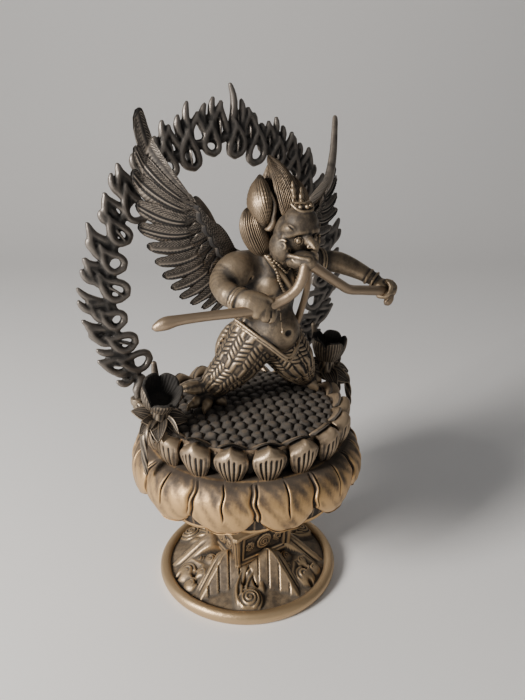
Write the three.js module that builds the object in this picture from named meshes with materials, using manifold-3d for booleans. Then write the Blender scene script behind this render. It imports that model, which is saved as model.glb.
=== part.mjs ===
// A cast garuda figure holding a snake, on a lotus throne with a square block and a round rock foot.
// Its two wings and the ring of flames behind it are castings of their own, and so are the two lotus
// flowers that the ring stands in. Millimetres, +Z up. The figure faces -Y, its right hand is at -X,
// and the origin is under the middle of the foot.
import * as THREE from 'three';
import { mergeVertices } from 'three/addons/utils/BufferGeometryUtils.js';
import Module from 'manifold-3d';

const wasm = await Module();
wasm.setup();

// The gap between castings that seat on each other
const fitGap = 0.3;
// What the wings leave round the shoulders, whose faceted sides grow less than their corners
const shoulderGap = 1.3;

// Foot: a round disc with a rolled rim, carved with rocks and waves, and the square block on it
const footRadius = 65;
const footRimHeight = 8;
const footRimWidth = 7;
const footFieldRise = 12;
const rockCount = 6;
const rockTurn = 268;
const rockHeight = 24;
const rockRadius = 10;
const waveRadius = 6;
const blockSide = 44;
const blockFlare = 3;
const blockTurn = -2;
const blockHeight = 28;
const panelMargin = 5;
const panelDepth = 1.2;

// Throne: a flared neck, a skirt of broad hanging petals, a crown of upright petals, the seed mound
const neckRadius = 22;
const flareHeight = 35;
const skirtRadius = 80;
const skirtTurn = 0;
const skirtHeight = 32;
const skirtPetals = 12;
const skirtScallop = 5;
const skirtGroove = 2;
const skirtSwell = 0.7;
const crownRadius = 65;
const crownPetals = 18;
const crownTurn = -10;
const crownHeight = 24;
const crownPetalThickness = 13;
const crownNotchSink = 6;
const crownNotchDrop = 10;
const moundRadius = 59;
const moundDrop = 3.5;
const moundRise = 4;
const knobPitch = 7;
const knobHeight = 1.7;

// Figure: all of its pose and proportions are shares of its height, in hundredths
const figureHeight = 168;
const wingRoot = 60;
const centreX = 3.5;

// Wings: a fan of flight feathers that steps down from two rows of coverts, on a bent arm. The
// lengths of the feathers are hundredths of a wing's span.
const wingSpan = 68;
const featherCount = 13;
const featherLength = 50.7;
const longestFeather = 83.8;
const featherThickness = 2.8;
const leftWingDroop = 4;

// Ring of flames, a little taller than wide, and the two flowers that hold its feet
const ringRadius = 87.5;
const ringStretch = 1.065;
const ringThickness = 5;
const ringBand = 4;
const ringPlaneY = 28;
const ringCentreAboveThrone = 78;
const ringOpening = 100;
const innerFlames = 18;
const outerFlames = 22;
const flameLength = 26;
const flameWidth = 9.5;
const ringPinRadius = 2.4;
const ringPinLength = 9;
const ringFootOffset = 70;
const flowerOffset = 68;
const bowlRadius = 12.5;
const bowlHeight = 15;
const bowlWall = 1.8;
const bowlNotch = 4;
const flowerStemHeight = 16;

// Heights that follow from the sizes above
const fieldEdge = footRimHeight - 1;
const blockFoot = fieldEdge + footFieldRise;
const blockTop = blockFoot + blockHeight;
const throneFoot = blockTop + fitGap;
const lipHeight = throneFoot + flareHeight;
const ledgeHeight = lipHeight + skirtHeight;
const crownTop = ledgeHeight + crownHeight - 2;
const moundRim = crownTop - moundDrop;
const moundTop = moundRim + moundRise;
const ringCentreZ = moundTop + ringCentreAboveThrone;

const bronze = {
  foot: [0x6d6152, 0.55],
  throne: [0x8a6f4c, 0.5],
  figure: [0x6b5a45, 0.45],
  wing: [0x4a4038, 0.55],
  ring: [0x35302d, 0.6],
  flower: [0x4d453c, 0.6],
};

const vec = (x, y, z) => new THREE.Vector3(x, y, z);
const { degToRad, lerp, smoothstep } = THREE.MathUtils;

// A closed geometry as a solid that can be joined and cut
function solid(geometry) {
  const bare = geometry.clone();
  bare.deleteAttribute('normal');
  bare.deleteAttribute('uv');
  const merged = mergeVertices(bare, 1e-4);
  const corners = merged.index.array;
  const triVerts = [];
  for (let i = 0; i < corners.length; i += 3) {
    const [a, b, c] = [corners[i], corners[i + 1], corners[i + 2]];
    if (a !== b && b !== c && c !== a) triVerts.push(a, b, c);
  }
  const mesh = new wasm.Mesh({
    numProp: 3,
    vertProperties: new Float32Array(merged.attributes.position.array),
    triVerts: new Uint32Array(triVerts),
  });
  mesh.merge();
  return new wasm.Manifold(mesh);
}

const joined = (solids) => solids.reduce((whole, next) => whole.add(next));

function named(name, shape, [color, roughness]) {
  const { vertProperties, triVerts } = shape.getMesh();
  const geometry = new THREE.BufferGeometry();
  geometry.setAttribute('position', new THREE.BufferAttribute(vertProperties, 3));
  geometry.setIndex(new THREE.BufferAttribute(triVerts, 1));
  geometry.computeVertexNormals();
  const material = new THREE.MeshStandardMaterial({ color, roughness, metalness: 0.8 });
  const mesh = new THREE.Mesh(geometry, material);
  mesh.name = name;
  return mesh;
}

// A limb through joints of [point, radius]: a cylinder bent along a smooth curve, its ends drawn to
// blunt points. Its section is an ellipse, `flat` times as thick across as it is along `wide`.
function limb(joints, { sides = 6, steps = 1, flat = 1, wide = vec(1, 0, 0), grow = 0 } = {}) {
  const curve = new THREE.CatmullRomCurve3(joints.map(([point]) => point));
  const spans = joints.length - 1;
  const shape = new THREE.CylinderGeometry(1, 1, 1, sides, spans * steps);
  const place = shape.attributes.position;
  for (let i = 0; i < place.count; i++) {
    const t = place.getY(i) + 0.5;
    const span = Math.min(Math.floor(t * spans), spans - 1);
    const radius = grow + lerp(joints[span][1], joints[span + 1][1], smoothstep(t * spans - span, 0, 1));
    const along = curve.getTangent(t);
    const side = wide.clone().addScaledVector(along, -wide.dot(along)).normalize();
    const across = side.clone().cross(along);
    const isTip = place.getX(i) === 0 && Math.abs(place.getZ(i)) < 1e-9;
    const point = curve.getPoint(t);
    if (isTip) point.addScaledVector(along, Math.sign(t - 0.5) * radius * 0.6);
    point.addScaledVector(side, place.getX(i) * radius);
    point.addScaledVector(across, place.getZ(i) * radius * flat);
    place.setXYZ(i, point.x, point.y, point.z);
  }
  return solid(shape);
}

// An eight-sided drop, pointed at both ends, from one place to another
function drop(from, to, width, flat = 1, wide = vec(1, 0, 0)) {
  const along = to.clone().sub(from);
  const side = wide.clone().projectOnPlane(along.clone().normalize()).normalize();
  const across = side.clone().cross(along).normalize();
  const place = new THREE.Matrix4().makeBasis(side.multiplyScalar(width), along.clone().multiplyScalar(0.5),
    across.multiplyScalar(width * flat));
  place.setPosition(from.clone().addScaledVector(along, 0.5));
  return solid(new THREE.OctahedronGeometry(1).applyMatrix4(place));
}

function ball(centre, radius, stretch = [1, 1, 1], sides = 6, rows = 4) {
  const shape = new THREE.SphereGeometry(radius, sides, rows);
  shape.rotateX(Math.PI / 2);
  shape.scale(...stretch);
  shape.translate(centre.x, centre.y, centre.z);
  return solid(shape);
}

function turned(profile, segments) {
  const shape = new THREE.LatheGeometry(profile.map(([r, z]) => new THREE.Vector2(r, z)), segments);
  shape.rotateX(Math.PI / 2);
  return shape;
}

// Which of a turned shape's columns a corner is in, counted from -Y
const columnOf = (corner, rows) => Math.floor(corner / rows);

// A point at a radius and a turn about the throne's axis, in degrees from +X
function polar(radius, turn, z) {
  return vec(radius * Math.cos(degToRad(turn)), radius * Math.sin(degToRad(turn)), z);
}

const around = (count, make) => Array.from({ length: count }, (_, i) => make((i * 360) / count, i));

// Foot

// One mountain of the foot's relief: a high peak leaning back on the block, a lower one on each side
function rock(turn) {
  const peaks = [[0, 1, 0.73, 9], [-15, 0.55, 0.78, 6], [14, 0.65, 0.8, 5]];
  return joined(peaks.map(([aside, share, reach, lean]) => {
    const tall = rockHeight * share;
    const shape = new THREE.ConeGeometry(rockRadius * (0.45 + 0.55 * share), tall, 5);
    shape.rotateX(Math.PI / 2);
    const place = shape.attributes.position;
    for (let i = 0; i < place.count; i++) {
      if (place.getZ(i) > 0) place.setX(i, place.getX(i) - lean);
    }
    shape.translate(reach * footRadius, 0, fieldEdge - 2 + tall / 2);
    shape.rotateZ(degToRad(turn + aside));
    return solid(shape);
  }));
}

// One breaking wave: a tapering spiral lying on the foot's field
function wave(turn) {
  const middle = polar(footRadius - footRimWidth - waveRadius, turn, fieldEdge + 2);
  const outward = polar(1, turn, 0);
  const sideways = polar(1, turn + 90, 0);
  const joints = [0, 1, 2, 3].map((i) => {
    const reach = waveRadius * (1 - i * 0.24);
    const point = middle.clone().addScaledVector(sideways, reach * Math.cos(i * 1.6));
    point.addScaledVector(outward, -reach * Math.sin(i * 1.6) * 0.9);
    point.z += reach * Math.sin(i * 1.6) * 0.3;
    return [point, 2.2 - i * 0.3];
  });
  return limb(joints, { sides: 4, wide: vec(0, 0, 1) });
}

function flaredBlock() {
  const below = footFieldRise;
  const shape = new THREE.BoxGeometry(blockSide, blockSide, blockHeight + below);
  const place = shape.attributes.position;
  for (let i = 0; i < place.count; i++) {
    const share = place.getZ(i) > 0 ? 1 + (2 * blockFlare) / blockSide : 1;
    place.setX(i, place.getX(i) * share);
    place.setY(i, place.getY(i) * share);
  }
  shape.translate(0, 0, blockTop - (blockHeight + below) / 2);
  shape.rotateZ(degToRad(blockTurn));
  return solid(shape);
}

function foot() {
  const field = footRadius - footRimWidth;
  const disc = solid(turned([
    [0, 0], [footRadius - 1, 0], [footRadius, footRimHeight * 0.5], [footRadius - 2.5, footRimHeight],
    [field, footRimHeight * 0.7], [blockSide / 2, blockFoot], [0, blockFoot],
  ], 30));
  const parts = [disc, flaredBlock()];
  parts.push(...around(rockCount, (turn) => rock(turn + rockTurn)));
  parts.push(...around(rockCount, (turn) => wave(turn + rockTurn - 180 / rockCount)));
  let whole = joined(parts);
  const panelWidth = blockSide - 2 * panelMargin;
  const panelHeight = blockHeight - 2 * panelMargin;
  const panelX = blockSide / 2 + blockFlare * 0.65;
  const slope = Math.atan(blockFlare / (blockHeight + footFieldRise));
  for (const turn of around(4, (quarter) => quarter + blockTurn)) {
    const recess = new THREE.BoxGeometry(2 * panelDepth, panelWidth, panelHeight);
    const medallion = new THREE.OctahedronGeometry(panelHeight * 0.4);
    medallion.scale(0.3, 1.4, 1);
    medallion.translate(-panelDepth, 0, 0);
    for (const shape of [recess, medallion]) {
      shape.rotateY(slope);
      shape.translate(panelX, 0, blockFoot + blockHeight / 2);
      shape.rotateZ(degToRad(turn));
    }
    whole = whole.subtract(solid(recess)).add(solid(medallion));
  }
  return whole;
}

// Throne

// The hanging petals: a turned ring whose wall swells on each petal and sinks between petals
function skirt() {
  const inner = crownRadius - 8;
  const columns = skirtPetals * 3;
  const profile = [
    [inner, lipHeight + 6], [skirtRadius - 5, lipHeight], [skirtRadius, lipHeight + skirtHeight * 0.2],
    [skirtRadius - 1, lipHeight + skirtHeight * 0.55], [crownRadius + 8, ledgeHeight],
    [inner, ledgeHeight - 1], [inner, lipHeight + 6],
  ];
  const rows = profile.length;
  const shape = turned(profile, columns);
  const place = shape.attributes.position;
  for (let i = 0; i < place.count; i++) {
    const [x, y, z] = [place.getX(i), place.getY(i), place.getZ(i)];
    const radius = Math.hypot(x, y);
    const isGroove = columnOf(i, rows) % 3 === 0;
    const inside = radius < inner + 1;
    const swell = inside ? 0 : isGroove ? -skirtGroove : skirtSwell;
    const lift = inside || !isGroove ? 0 : 1 - (z - lipHeight) / skirtHeight;
    const share = (radius + swell) / radius;
    place.setXYZ(i, x * share, y * share, z + skirtScallop * Math.max(lift, 0));
  }
  shape.rotateZ(degToRad(skirtTurn));
  return solid(shape);
}

// The upright petals: a turned ring that swells on each petal, which rises to a soft point
function crown() {
  const columns = crownPetals * 3;
  const half = crownPetalThickness / 2;
  const profile = [
    [crownRadius - half, ledgeHeight - 2], [crownRadius + half * 0.5, ledgeHeight - 2],
    [crownRadius + half, ledgeHeight + crownHeight * 0.55], [crownRadius, crownTop],
    [crownRadius - half, ledgeHeight + crownHeight * 0.6], [crownRadius - half, ledgeHeight - 2],
  ];
  const shape = turned(profile, columns);
  const place = shape.attributes.position;
  for (let i = 0; i < place.count; i++) {
    const [x, y, z] = [place.getX(i), place.getY(i), place.getZ(i)];
    const radius = Math.hypot(x, y);
    const isNotch = columnOf(i, profile.length) % 3 === 0;
    const above = Math.max(0, (z - ledgeHeight) / crownHeight);
    const sink = radius < crownRadius - 1 || !isNotch ? 0 : crownNotchSink * Math.min(1, 0.4 + 2 * above);
    const share = (radius - sink) / radius;
    place.setXYZ(i, x * share, y * share, z - (isNotch ? crownNotchDrop * above ** 3 : 0));
  }
  shape.rotateZ(degToRad(crownTurn));
  return solid(shape);
}

// The seed mound: knobs in staggered rows, each a four-sided cell raised in its middle
function mound() {
  const points = [];
  const found = new Map();
  const heightAt = (x, y) => moundRim + moundRise * Math.max(0, 1 - (x * x + y * y) / moundRadius ** 2);
  const corner = (x, y, z) => {
    const key = `${Math.round(x * 50)},${Math.round(y * 50)},${Math.round(z * 50)}`;
    if (!found.has(key)) {
      found.set(key, points.length);
      points.push(vec(x, y, z));
    }
    return found.get(key);
  };
  const faces = [];
  const rowGap = knobPitch * Math.sin(Math.PI / 3);
  const rows = Math.ceil(moundRadius / rowGap);
  for (let row = -rows; row <= rows; row++) {
    for (let column = -rows - 1; column <= rows + 1; column++) {
      const x = (column + (Math.abs(row) % 2) / 2) * knobPitch;
      const y = row * rowGap;
      if (Math.hypot(x, y) > moundRadius - knobPitch / 2) continue;
      const ring = [[0.75, 0.5], [-0.25, 0.5], [-0.75, -0.5], [0.25, -0.5]].map(([aside, ahead]) => {
        const [cx, cy] = [x + aside * knobPitch, y + ahead * rowGap];
        return corner(cx, cy, heightAt(cx, cy));
      });
      const top = corner(x, y, heightAt(x, y) + knobHeight);
      ring.forEach((one, i) => faces.push([top, one, ring[(i + 1) % 4]]));
    }
  }
  const edges = new Set(faces.flatMap(([a, b, c]) => [[a, b], [b, c], [c, a]].map(String)));
  const below = (i) => corner(points[i].x, points[i].y, ledgeHeight);
  const middle = corner(0, 0, ledgeHeight);
  for (const edge of edges) {
    const [a, b] = edge.split(',').map(Number);
    if (edges.has(`${b},${a}`)) continue;
    faces.push([a, below(a), b], [b, below(a), below(b)], [below(a), middle, below(b)]);
  }
  const shape = new THREE.BufferGeometry().setFromPoints(points);
  shape.setIndex(faces.flat());
  return solid(shape);
}

function throne() {
  const core = solid(turned([
    [0, throneFoot], [neckRadius, throneFoot], [neckRadius + 12, throneFoot + flareHeight * 0.5],
    [crownRadius - 10, lipHeight - 2], [crownRadius - 4, lipHeight + 12], [crownRadius - 4, moundRim - 1.5],
    [0, moundRim - 1.5],
  ], 20));
  return joined([core, skirt(), mound(), crown()]);
}

// What stands on the throne clears this: the mound's knobs and the tips of the upright petals
function seat() {
  const tips = crownTop + fitGap;
  const knobs = moundRim + knobHeight + 2 * fitGap;
  const edge = crownRadius + crownPetalThickness * 0.7;
  const profile = [[0, ledgeHeight], [edge, ledgeHeight], [edge, tips], [crownRadius - 8, tips]];
  for (const share of [0.7, 0]) {
    profile.push([moundRadius * share, knobs + moundRise * (1.06 - share * share)]);
  }
  return solid(turned(profile, 20));
}

// Figure

// A place on the figure, in hundredths of its height: across to its left, back, and up
const unit = figureHeight / 100;
const at = (across, back, up) => vec(centreX + across * unit, back * unit, moundTop + up * unit);
const joint = (across, back, up, radius) => [at(across, back, up), radius * unit];

function trunk(grow = 0) {
  return [
    limb([joint(3.5, -3.5, 27, 9.6), joint(3, -8.5, 38, 9.4), joint(0.5, -11.5, 52, 11),
      joint(0, -14.5, 62, 5.5)], { sides: 8, flat: 0.84, grow }),
    limb([joint(0, -14, 58, 5.5), joint(0.5, -21, 66, 5), joint(1, -26, 71, 5)], { grow }),
    ball(at(3.5, -12, 32), 11 * unit + grow, [1, 0.95, 0.95], 8, 5),
  ];
}

function head() {
  const skull = ball(at(1, -27.4, 72), 8 * unit, [0.92, 1, 1], 8, 5);
  const brow = ball(at(1, -31, 75.8), 4.6 * unit, [1.25, 0.8, 0.9]);
  const beak = limb([joint(0.8, -30, 70.6, 4.2), joint(0.3, -34.6, 70.4, 3), joint(0, -37.2, 68.2, 1)]);
  const jaw = limb([joint(0.4, -27, 66.4, 4.2), joint(0, -33, 64.6, 3.4), joint(-0.3, -37, 64, 2.4)],
    { flat: 0.55 });
  const ears = [-1, 1].map((side) => drop(at(1 + side * 7, -25.5, 76), at(1 + side * 7.8, -25, 62),
    3.2 * unit, 0.6, vec(0, 1, 0)));
  return [skull, brow, beak, jaw, ...ears];
}

// The hair: a pointed tuft over the brow, and two combed lobes on each side behind it
function hair() {
  const tuft = limb([joint(1, -27, 79, 5.6), joint(0.8, -20.5, 88, 5.6), joint(0, -13.8, 94.6, 1)],
    { sides: 7, flat: 0.7 });
  const back = limb([joint(1, -17, 66, 6.5), joint(1, -15, 79, 6.5), joint(1, -13.5, 88, 3)]);
  const lobes = [-1, 1].flatMap((side) => [
    limb([joint(1 + side * 4.4, -17, 74, 4.6), joint(1 + side * 5, -14.6, 82, 6.6),
      joint(1 + side * 2.6, -12.6, 90, 1.4)], { flat: 0.75, wide: vec(0, 1, 0) }),
    limb([joint(1 + side * 6.6, -13, 77, 3), joint(1 + side * 7.4, -12.4, 70, 5),
      joint(1 + side * 4, -13.5, 63, 2.4)], { wide: vec(0, 1, 0) }),
  ]);
  const crownBand = [-3.3, 0, 3.3].map((aside) => drop(at(1 + aside, -30, 79), at(1 + aside, -28.6, 86),
    1.8 * unit));
  return [tuft, back, ...lobes, ...crownBand];
}

function arms(grow = 0) {
  return [
    limb([joint(-8, -10.5, 58, 5.6), joint(-14, -9.8, 56.8, 5.4), joint(-20, -13.4, 53.8, 4),
      joint(-20, -23, 51, 3.3)], { grow }),
    ball(at(-17.2, -28.5, 49.3), 5.4 * unit, [1, 1, 0.95]),
    limb([joint(10, -11, 58.5, 5.6), joint(21, -11.5, 56.5, 4.6), joint(31, -15.5, 55, 3.9),
      joint(39.2, -26, 49.8, 2.7)], { grow }),
    ball(at(41.3, -30.5, 46.6), 3.9 * unit, [0.9, 1.1, 1.1]),
  ];
}

// A bird's foot: thick toes and a feathered cuff that flares out over them
function talons(ankle, toes, cuff) {
  const spread = toes.map((tip) => limb([joint(...ankle, 3.6), joint(...tip, 1.9)], { sides: 4 }));
  const feathers = limb([joint(...ankle, 4.8), joint(...cuff[0]), joint(...cuff[1])],
    { sides: 5, flat: 0.6, wide: vec(0.4, -1, 0).normalize() });
  return [...spread, feathers];
}

function legs() {
  return [
    limb([joint(-1, -4, 28, 9.4), joint(-6, -1.5, 19, 8.2), joint(-12.5, 3.5, 10, 6.2),
      joint(-15.5, 6, 5, 4.4)], { sides: 7 }),
    limb([joint(9, -5, 27, 10), joint(15, -7.4, 17, 8), joint(21.5, -5, 8.6, 5.8),
      joint(25, -3.6, 5, 4.6)], { sides: 7 }),
    ...talons([-15.5, 6, 5], [[-22.8, -1.4, -0.5], [-27.4, 3.6, 0.4], [-11, -0.5, -0.5]],
      [[-22, 9, 7.4, 5], [-27.5, 11, 8, 1.6]]),
    ...talons([24, -4, 5.4], [[33.4, -6.2, 0.5], [33, -0.2, 0.8], [27, -11, -0.5]],
      [[29.5, -1.6, 6, 4.4], [33, 0.2, 5, 2.2]]),
  ];
}

function snake() {
  return [
    limb([joint(-50.4, -20.6, 46.8, 1.2), joint(-47.6, -21.8, 48.5, 2.8), joint(-43, -23.4, 49, 2.2),
      joint(-17.5, -30, 49, 2.2)], { sides: 5 }),
    limb([joint(-17.5, -30, 49, 2.2), joint(-10.5, -32, 50.7, 2.1), joint(-4.9, -35.5, 55.2, 2.1),
      joint(-2.2, -36.6, 63.4, 2)], { sides: 5, steps: 2 }),
    limb([joint(-1, -36.6, 64, 1.8), joint(6.6, -36.6, 58.6, 1.8), joint(13.3, -36, 54.3, 1.8),
      joint(25.9, -34, 49.4, 1.8), joint(41, -31.4, 46.2, 1.9)], { sides: 5 }),
    limb([joint(41, -31.6, 46.6, 1.9), joint(41.6, -32.4, 42.2, 1.8), joint(39.6, -32.6, 41, 1.2)],
      { sides: 5 }),
    limb([joint(2.2, -33, 62, 1.1), joint(7.5, -26, 55, 1.2), joint(11.8, -18.5, 44, 1.2),
      joint(12.4, -13, 33, 1.4)], { sides: 5 }),
  ];
}

function figure() {
  const tailFeathers = [[-10, 5, 30], [-13.5, 8.4, 26]].map(([across, back, up]) => limb([
    joint(across + 6, back - 4, up + 2, 4), joint(across, back, up, 4.4),
    joint(across - 5.5, back + 1.5, up - 9, 3)], { sides: 5, flat: 0.6, wide: vec(0.2, 1, 0) }));
  const parts = [...trunk(), ...head(), ...hair(), ...arms(), ...legs(), ...snake(), ...tailFeathers];
  return joined(parts).subtract(seat());
}

// Wings

// A place on a wing, in hundredths of its span: outward from the figure's middle, back, and up from
// its root. The left wing hangs a little lower, turned about its root.
function wingPlace(side, out, back, up) {
  const share = wingSpan / 100;
  const droop = side > 0 ? -degToRad(leftWingDroop) : 0;
  const [across, rise] = [out * share, up * share];
  return vec(centreX + side * (across * Math.cos(droop) - rise * Math.sin(droop)), back * share,
    moundTop + wingRoot * unit + across * Math.sin(droop) + rise * Math.cos(droop));
}

// The feathers in one sheet: thick along each shaft, thin between, and scalloped wherever a row ends.
// Each place along a feather is [share of the length, share of the thickness]; the last is the tip.
function fan(side) {
  const along = [[0, 1.5], [0.2, 1.5], [0.24, 1.05], [0.42, 1.05], [0.46, 0.7], [1, 0.35]];
  const columns = 2 * featherCount;
  const shape = new THREE.BoxGeometry(2, 2, 2, columns, along.length - 1, 1);
  const place = shape.attributes.position;
  for (let i = 0; i < place.count; i++) {
    const column = Math.round(((place.getX(i) + 1) / 2) * columns);
    const row = Math.round(((place.getY(i) + 1) / 2) * (along.length - 1));
    const share = column / columns;
    const onShaft = column % 2 === 1;
    const tip = lerp(featherLength, longestFeather, 0.5 ** (share * 12)) + 4.4 * Math.sin(Math.PI * share)
      - 11.8 * share ** 4;
    const length = row === along.length - 1 ? tip : featherLength * along[row][0];
    const reach = length * (onShaft ? 1 : 0.88);
    const turn = degToRad(lerp(66, -76, share));
    const sweep = lerp(23.5, 8.8, share) * Math.min(1, reach / featherLength) ** 1.5;
    const point = wingPlace(side, lerp(67.6, 22.1, share) + reach * Math.cos(turn),
      lerp(-16.2, -7.4, share) + sweep, lerp(57.4, -14.7, share) + reach * Math.sin(turn));
    const half = (featherThickness / 2) * along[row][1] * (onShaft ? 1 : 0.4);
    place.setXYZ(i, point.x, point.y - half * place.getZ(i) * side, point.z);
  }
  return solid(shape);
}

function wing(side) {
  const spot = (out, back, up, radius) => [wingPlace(side, out, back, up), (radius * wingSpan) / 100];
  const arm = limb([spot(8.8, -5.9, -1.5, 7.3), spot(20.6, -11.8, 1.5, 7.3), spot(33.8, -16.2, 12.5, 6.8),
    spot(49.3, -18.4, 39, 6.8), spot(63.2, -18.4, 54.4, 6.2), spot(75, -14.7, 64.7, 4.4),
    spot(85.3, -7.4, 88.2, 3.5), spot(95.6, 7.4, 123.5, 2.1)],
  { sides: 5, flat: 0.65, wide: vec(side, 0, -1).normalize() });
  const whole = joined([fan(side), arm]);
  const bodies = [...trunk(shoulderGap).slice(0, 2), arms(shoulderGap)[side < 0 ? 0 : 2]];
  return bodies.reduce((left, body) => left.subtract(body), whole);
}

// Ring of flames

// A place on the ring, at a radius and a turn about its middle
function ringPlace(radius, turn) {
  return vec(centreX + radius * Math.cos(degToRad(turn)), ringPlaneY,
    ringCentreZ + ringStretch * radius * Math.sin(degToRad(turn)));
}

// A flat shape standing in the ring's plane, set forward of its middle by a distance
function upright(outline, thickness, forward) {
  const shape = new THREE.ExtrudeGeometry(new THREE.Shape(outline),
    { depth: thickness, bevelEnabled: false });
  shape.rotateX(Math.PI / 2);
  shape.translate(0, ringPlaneY + thickness / 2 - forward, 0);
  return solid(shape);
}

// One tongue: a drop with its round end on the ring and its tip drawn up, out and a little aside
function flame(turn, radius, length, forward) {
  const root = ringPlace(radius, turn);
  const lean = degToRad(90 + (turn - 90) * (0.42 + Math.abs(turn - 90) / 550));
  const along = new THREE.Vector2(Math.cos(lean), Math.sin(lean));
  const aside = new THREE.Vector2(along.y, -along.x);
  const curl = turn > 90 ? -1 : 1;
  const edge = (hand) => [[0, 0.55], [0.4, 0.95]].map(([run, half]) => new THREE.Vector2(root.x, root.z)
    .addScaledVector(along, run * length)
    .addScaledVector(aside, flameWidth * 0.5 * half * hand + curl * 0.2 * length * run));
  const tip = new THREE.Vector2(root.x, root.z).addScaledVector(along, length)
    .addScaledVector(aside, -curl * 0.14 * length);
  return upright([...edge(1), tip, ...edge(-1).reverse()], ringThickness, forward);
}

const ringSweep = 360 - ringOpening;
const ringStart = 90 - ringSweep / 2;
const ringFootZ = ringPlace(ringRadius, ringStart).z - 4;

// The round pin under each end of the ring, or with a gap the hole that takes it
function ringPin(side, gap) {
  const length = ringPinLength + 4 + gap;
  const shape = new THREE.CylinderGeometry(ringPinRadius + gap, ringPinRadius + gap, length, 8);
  shape.rotateX(Math.PI / 2);
  shape.translate(centreX + side * ringFootOffset, ringPlaneY, ringFootZ + 4 - length / 2);
  return solid(shape);
}

function flameRing() {
  const spaced = (count, make) => Array.from({ length: count },
    (_, i) => make(ringStart + (ringSweep * (i + 0.5)) / count, i));
  const crest = (turn) => 1 + 1.3 * Math.max(0, 1 - Math.abs(turn - 84) / 16);
  const inner = spaced(innerFlames, (turn, i) => flame(turn, ringRadius - 12,
    flameLength - 3 * (i % 2), 1));
  const spread = (turn) => lerp(0.75, 1.3, smoothstep(Math.abs(turn - 90), 60, 115));
  const outer = spaced(outerFlames, (turn, i) => flame(turn, ringRadius - 2,
    (flameLength - 10 + 2.5 * (i % 3)) * crest(turn) * spread(turn), -1));
  const edge = (radius) => Array.from({ length: 25 }, (_, i) => {
    const point = ringPlace(radius, ringStart + (ringSweep * i) / 24);
    return new THREE.Vector2(point.x, point.z);
  });
  const band = upright([...edge(ringRadius + ringBand / 2), ...edge(ringRadius - ringBand / 2).reverse()],
    ringThickness, 0);
  const feet = [-1, 1].flatMap((side) => {
    const end = ringPlace(ringRadius, side > 0 ? ringStart : 180 - ringStart);
    const pinTop = vec(centreX + side * ringFootOffset, ringPlaneY, ringFootZ);
    return [ringPin(side, 0), limb([[end.add(vec(0, 0, 3)), 4.2], [pinTop, 3.6]], { flat: 0.8 })];
  });
  return joined([band, ...inner, ...outer, ...feet]);
}

// Flowers

// A pointed leaf: a flat drop from a root, its tip drooping
function leaf(root, turn, length, droop, width) {
  const tip = root.clone().add(polar(length, turn, -droop));
  return drop(root, tip, width, 0.4, polar(1, turn + 90, 0));
}

// The bowl, its wall swelling on each petal; the right flower's mouth is turned to the front
function bowl(side) {
  const columns = 10;
  const profile = [
    [0, -3], [bowlRadius * 0.65, -1], [bowlRadius * 0.95, bowlHeight * 0.45], [bowlRadius, bowlHeight],
    [bowlRadius - bowlWall, bowlHeight], [bowlRadius * 0.8 - bowlWall, bowlHeight * 0.45], [0, bowlWall],
  ];
  const shape = turned(profile, columns);
  const place = shape.attributes.position;
  for (let i = 0; i < place.count; i++) {
    const isNotch = columnOf(i, profile.length) % 2 === 1;
    if (isNotch && place.getZ(i) > bowlHeight * 0.9) place.setZ(i, place.getZ(i) - bowlNotch);
  }
  shape.rotateX(degToRad(side < 0 ? 26 : 6));
  shape.translate(centreX + side * flowerOffset, 0, crownTop + flowerStemHeight);
  return solid(shape);
}

function flower(side) {
  const x = centreX + side * flowerOffset;
  const root = vec(x, 1, crownTop + 5);
  const stem = limb([[vec(x, 2, crownTop - 1), 6.5], [vec(x, 1, crownTop + flowerStemHeight + 1), 4.6]]);
  const inward = side < 0 ? [[-20, 18, 3]] : [];
  const leaves = [[-160, 18, 4], [-120, 18, 7], [-75, 17, 8], [165, 17, -8], [40, 16, -6], ...inward].map(
    ([turn, length, droop]) => leaf(root, side > 0 ? 180 - turn : turn, length, droop, 5.5));
  const spray = limb([[vec(x, 0, crownTop + 5), 3], [vec(x + side * 13, -4, crownTop + 3), 4],
    [vec(x + side * 16, -9, crownTop - 26), 2.4]], { sides: 5, flat: 0.5, wide: vec(0, 1, 0) });
  const pinX = centreX + side * ringFootOffset;
  const socket = limb([[vec(pinX, ringPlaneY, ringFootZ - 5.5), ringPinRadius + 2.4],
    [vec(pinX, ringPlaneY, ringFootZ - ringPinLength - 2), ringPinRadius + 2.4]], { sides: 6 });
  const branch = limb([[vec(x, 2, crownTop + 6), 3.6],
    [vec(pinX, ringPlaneY, ringFootZ - ringPinLength - 2), 4]]);
  const finger = limb([[vec(x - side, 3, crownTop + flowerStemHeight - 4), 3.2],
    [vec(x - side * 4, bowlRadius, crownTop + flowerStemHeight + bowlHeight + 8), 2]], { sides: 5 });
  return joined([bowl(side), stem, ...leaves, spray, socket, branch, finger])
    .subtract(ringPin(side, fitGap)).subtract(seat());
}

const garuda = new THREE.Group();
garuda.add(named('foot_and_block', foot(), bronze.foot));
garuda.add(named('lotus_throne', throne(), bronze.throne));
garuda.add(named('garuda_with_snake', figure(), bronze.figure));
garuda.add(named('right_wing', wing(-1), bronze.wing));
garuda.add(named('left_wing', wing(1), bronze.wing));
garuda.add(named('flame_ring', flameRing(), bronze.ring));
garuda.add(named('right_lotus_flower', flower(-1), bronze.flower));
garuda.add(named('left_lotus_flower', flower(1), bronze.flower));

export default garuda;
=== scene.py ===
import math

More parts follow.
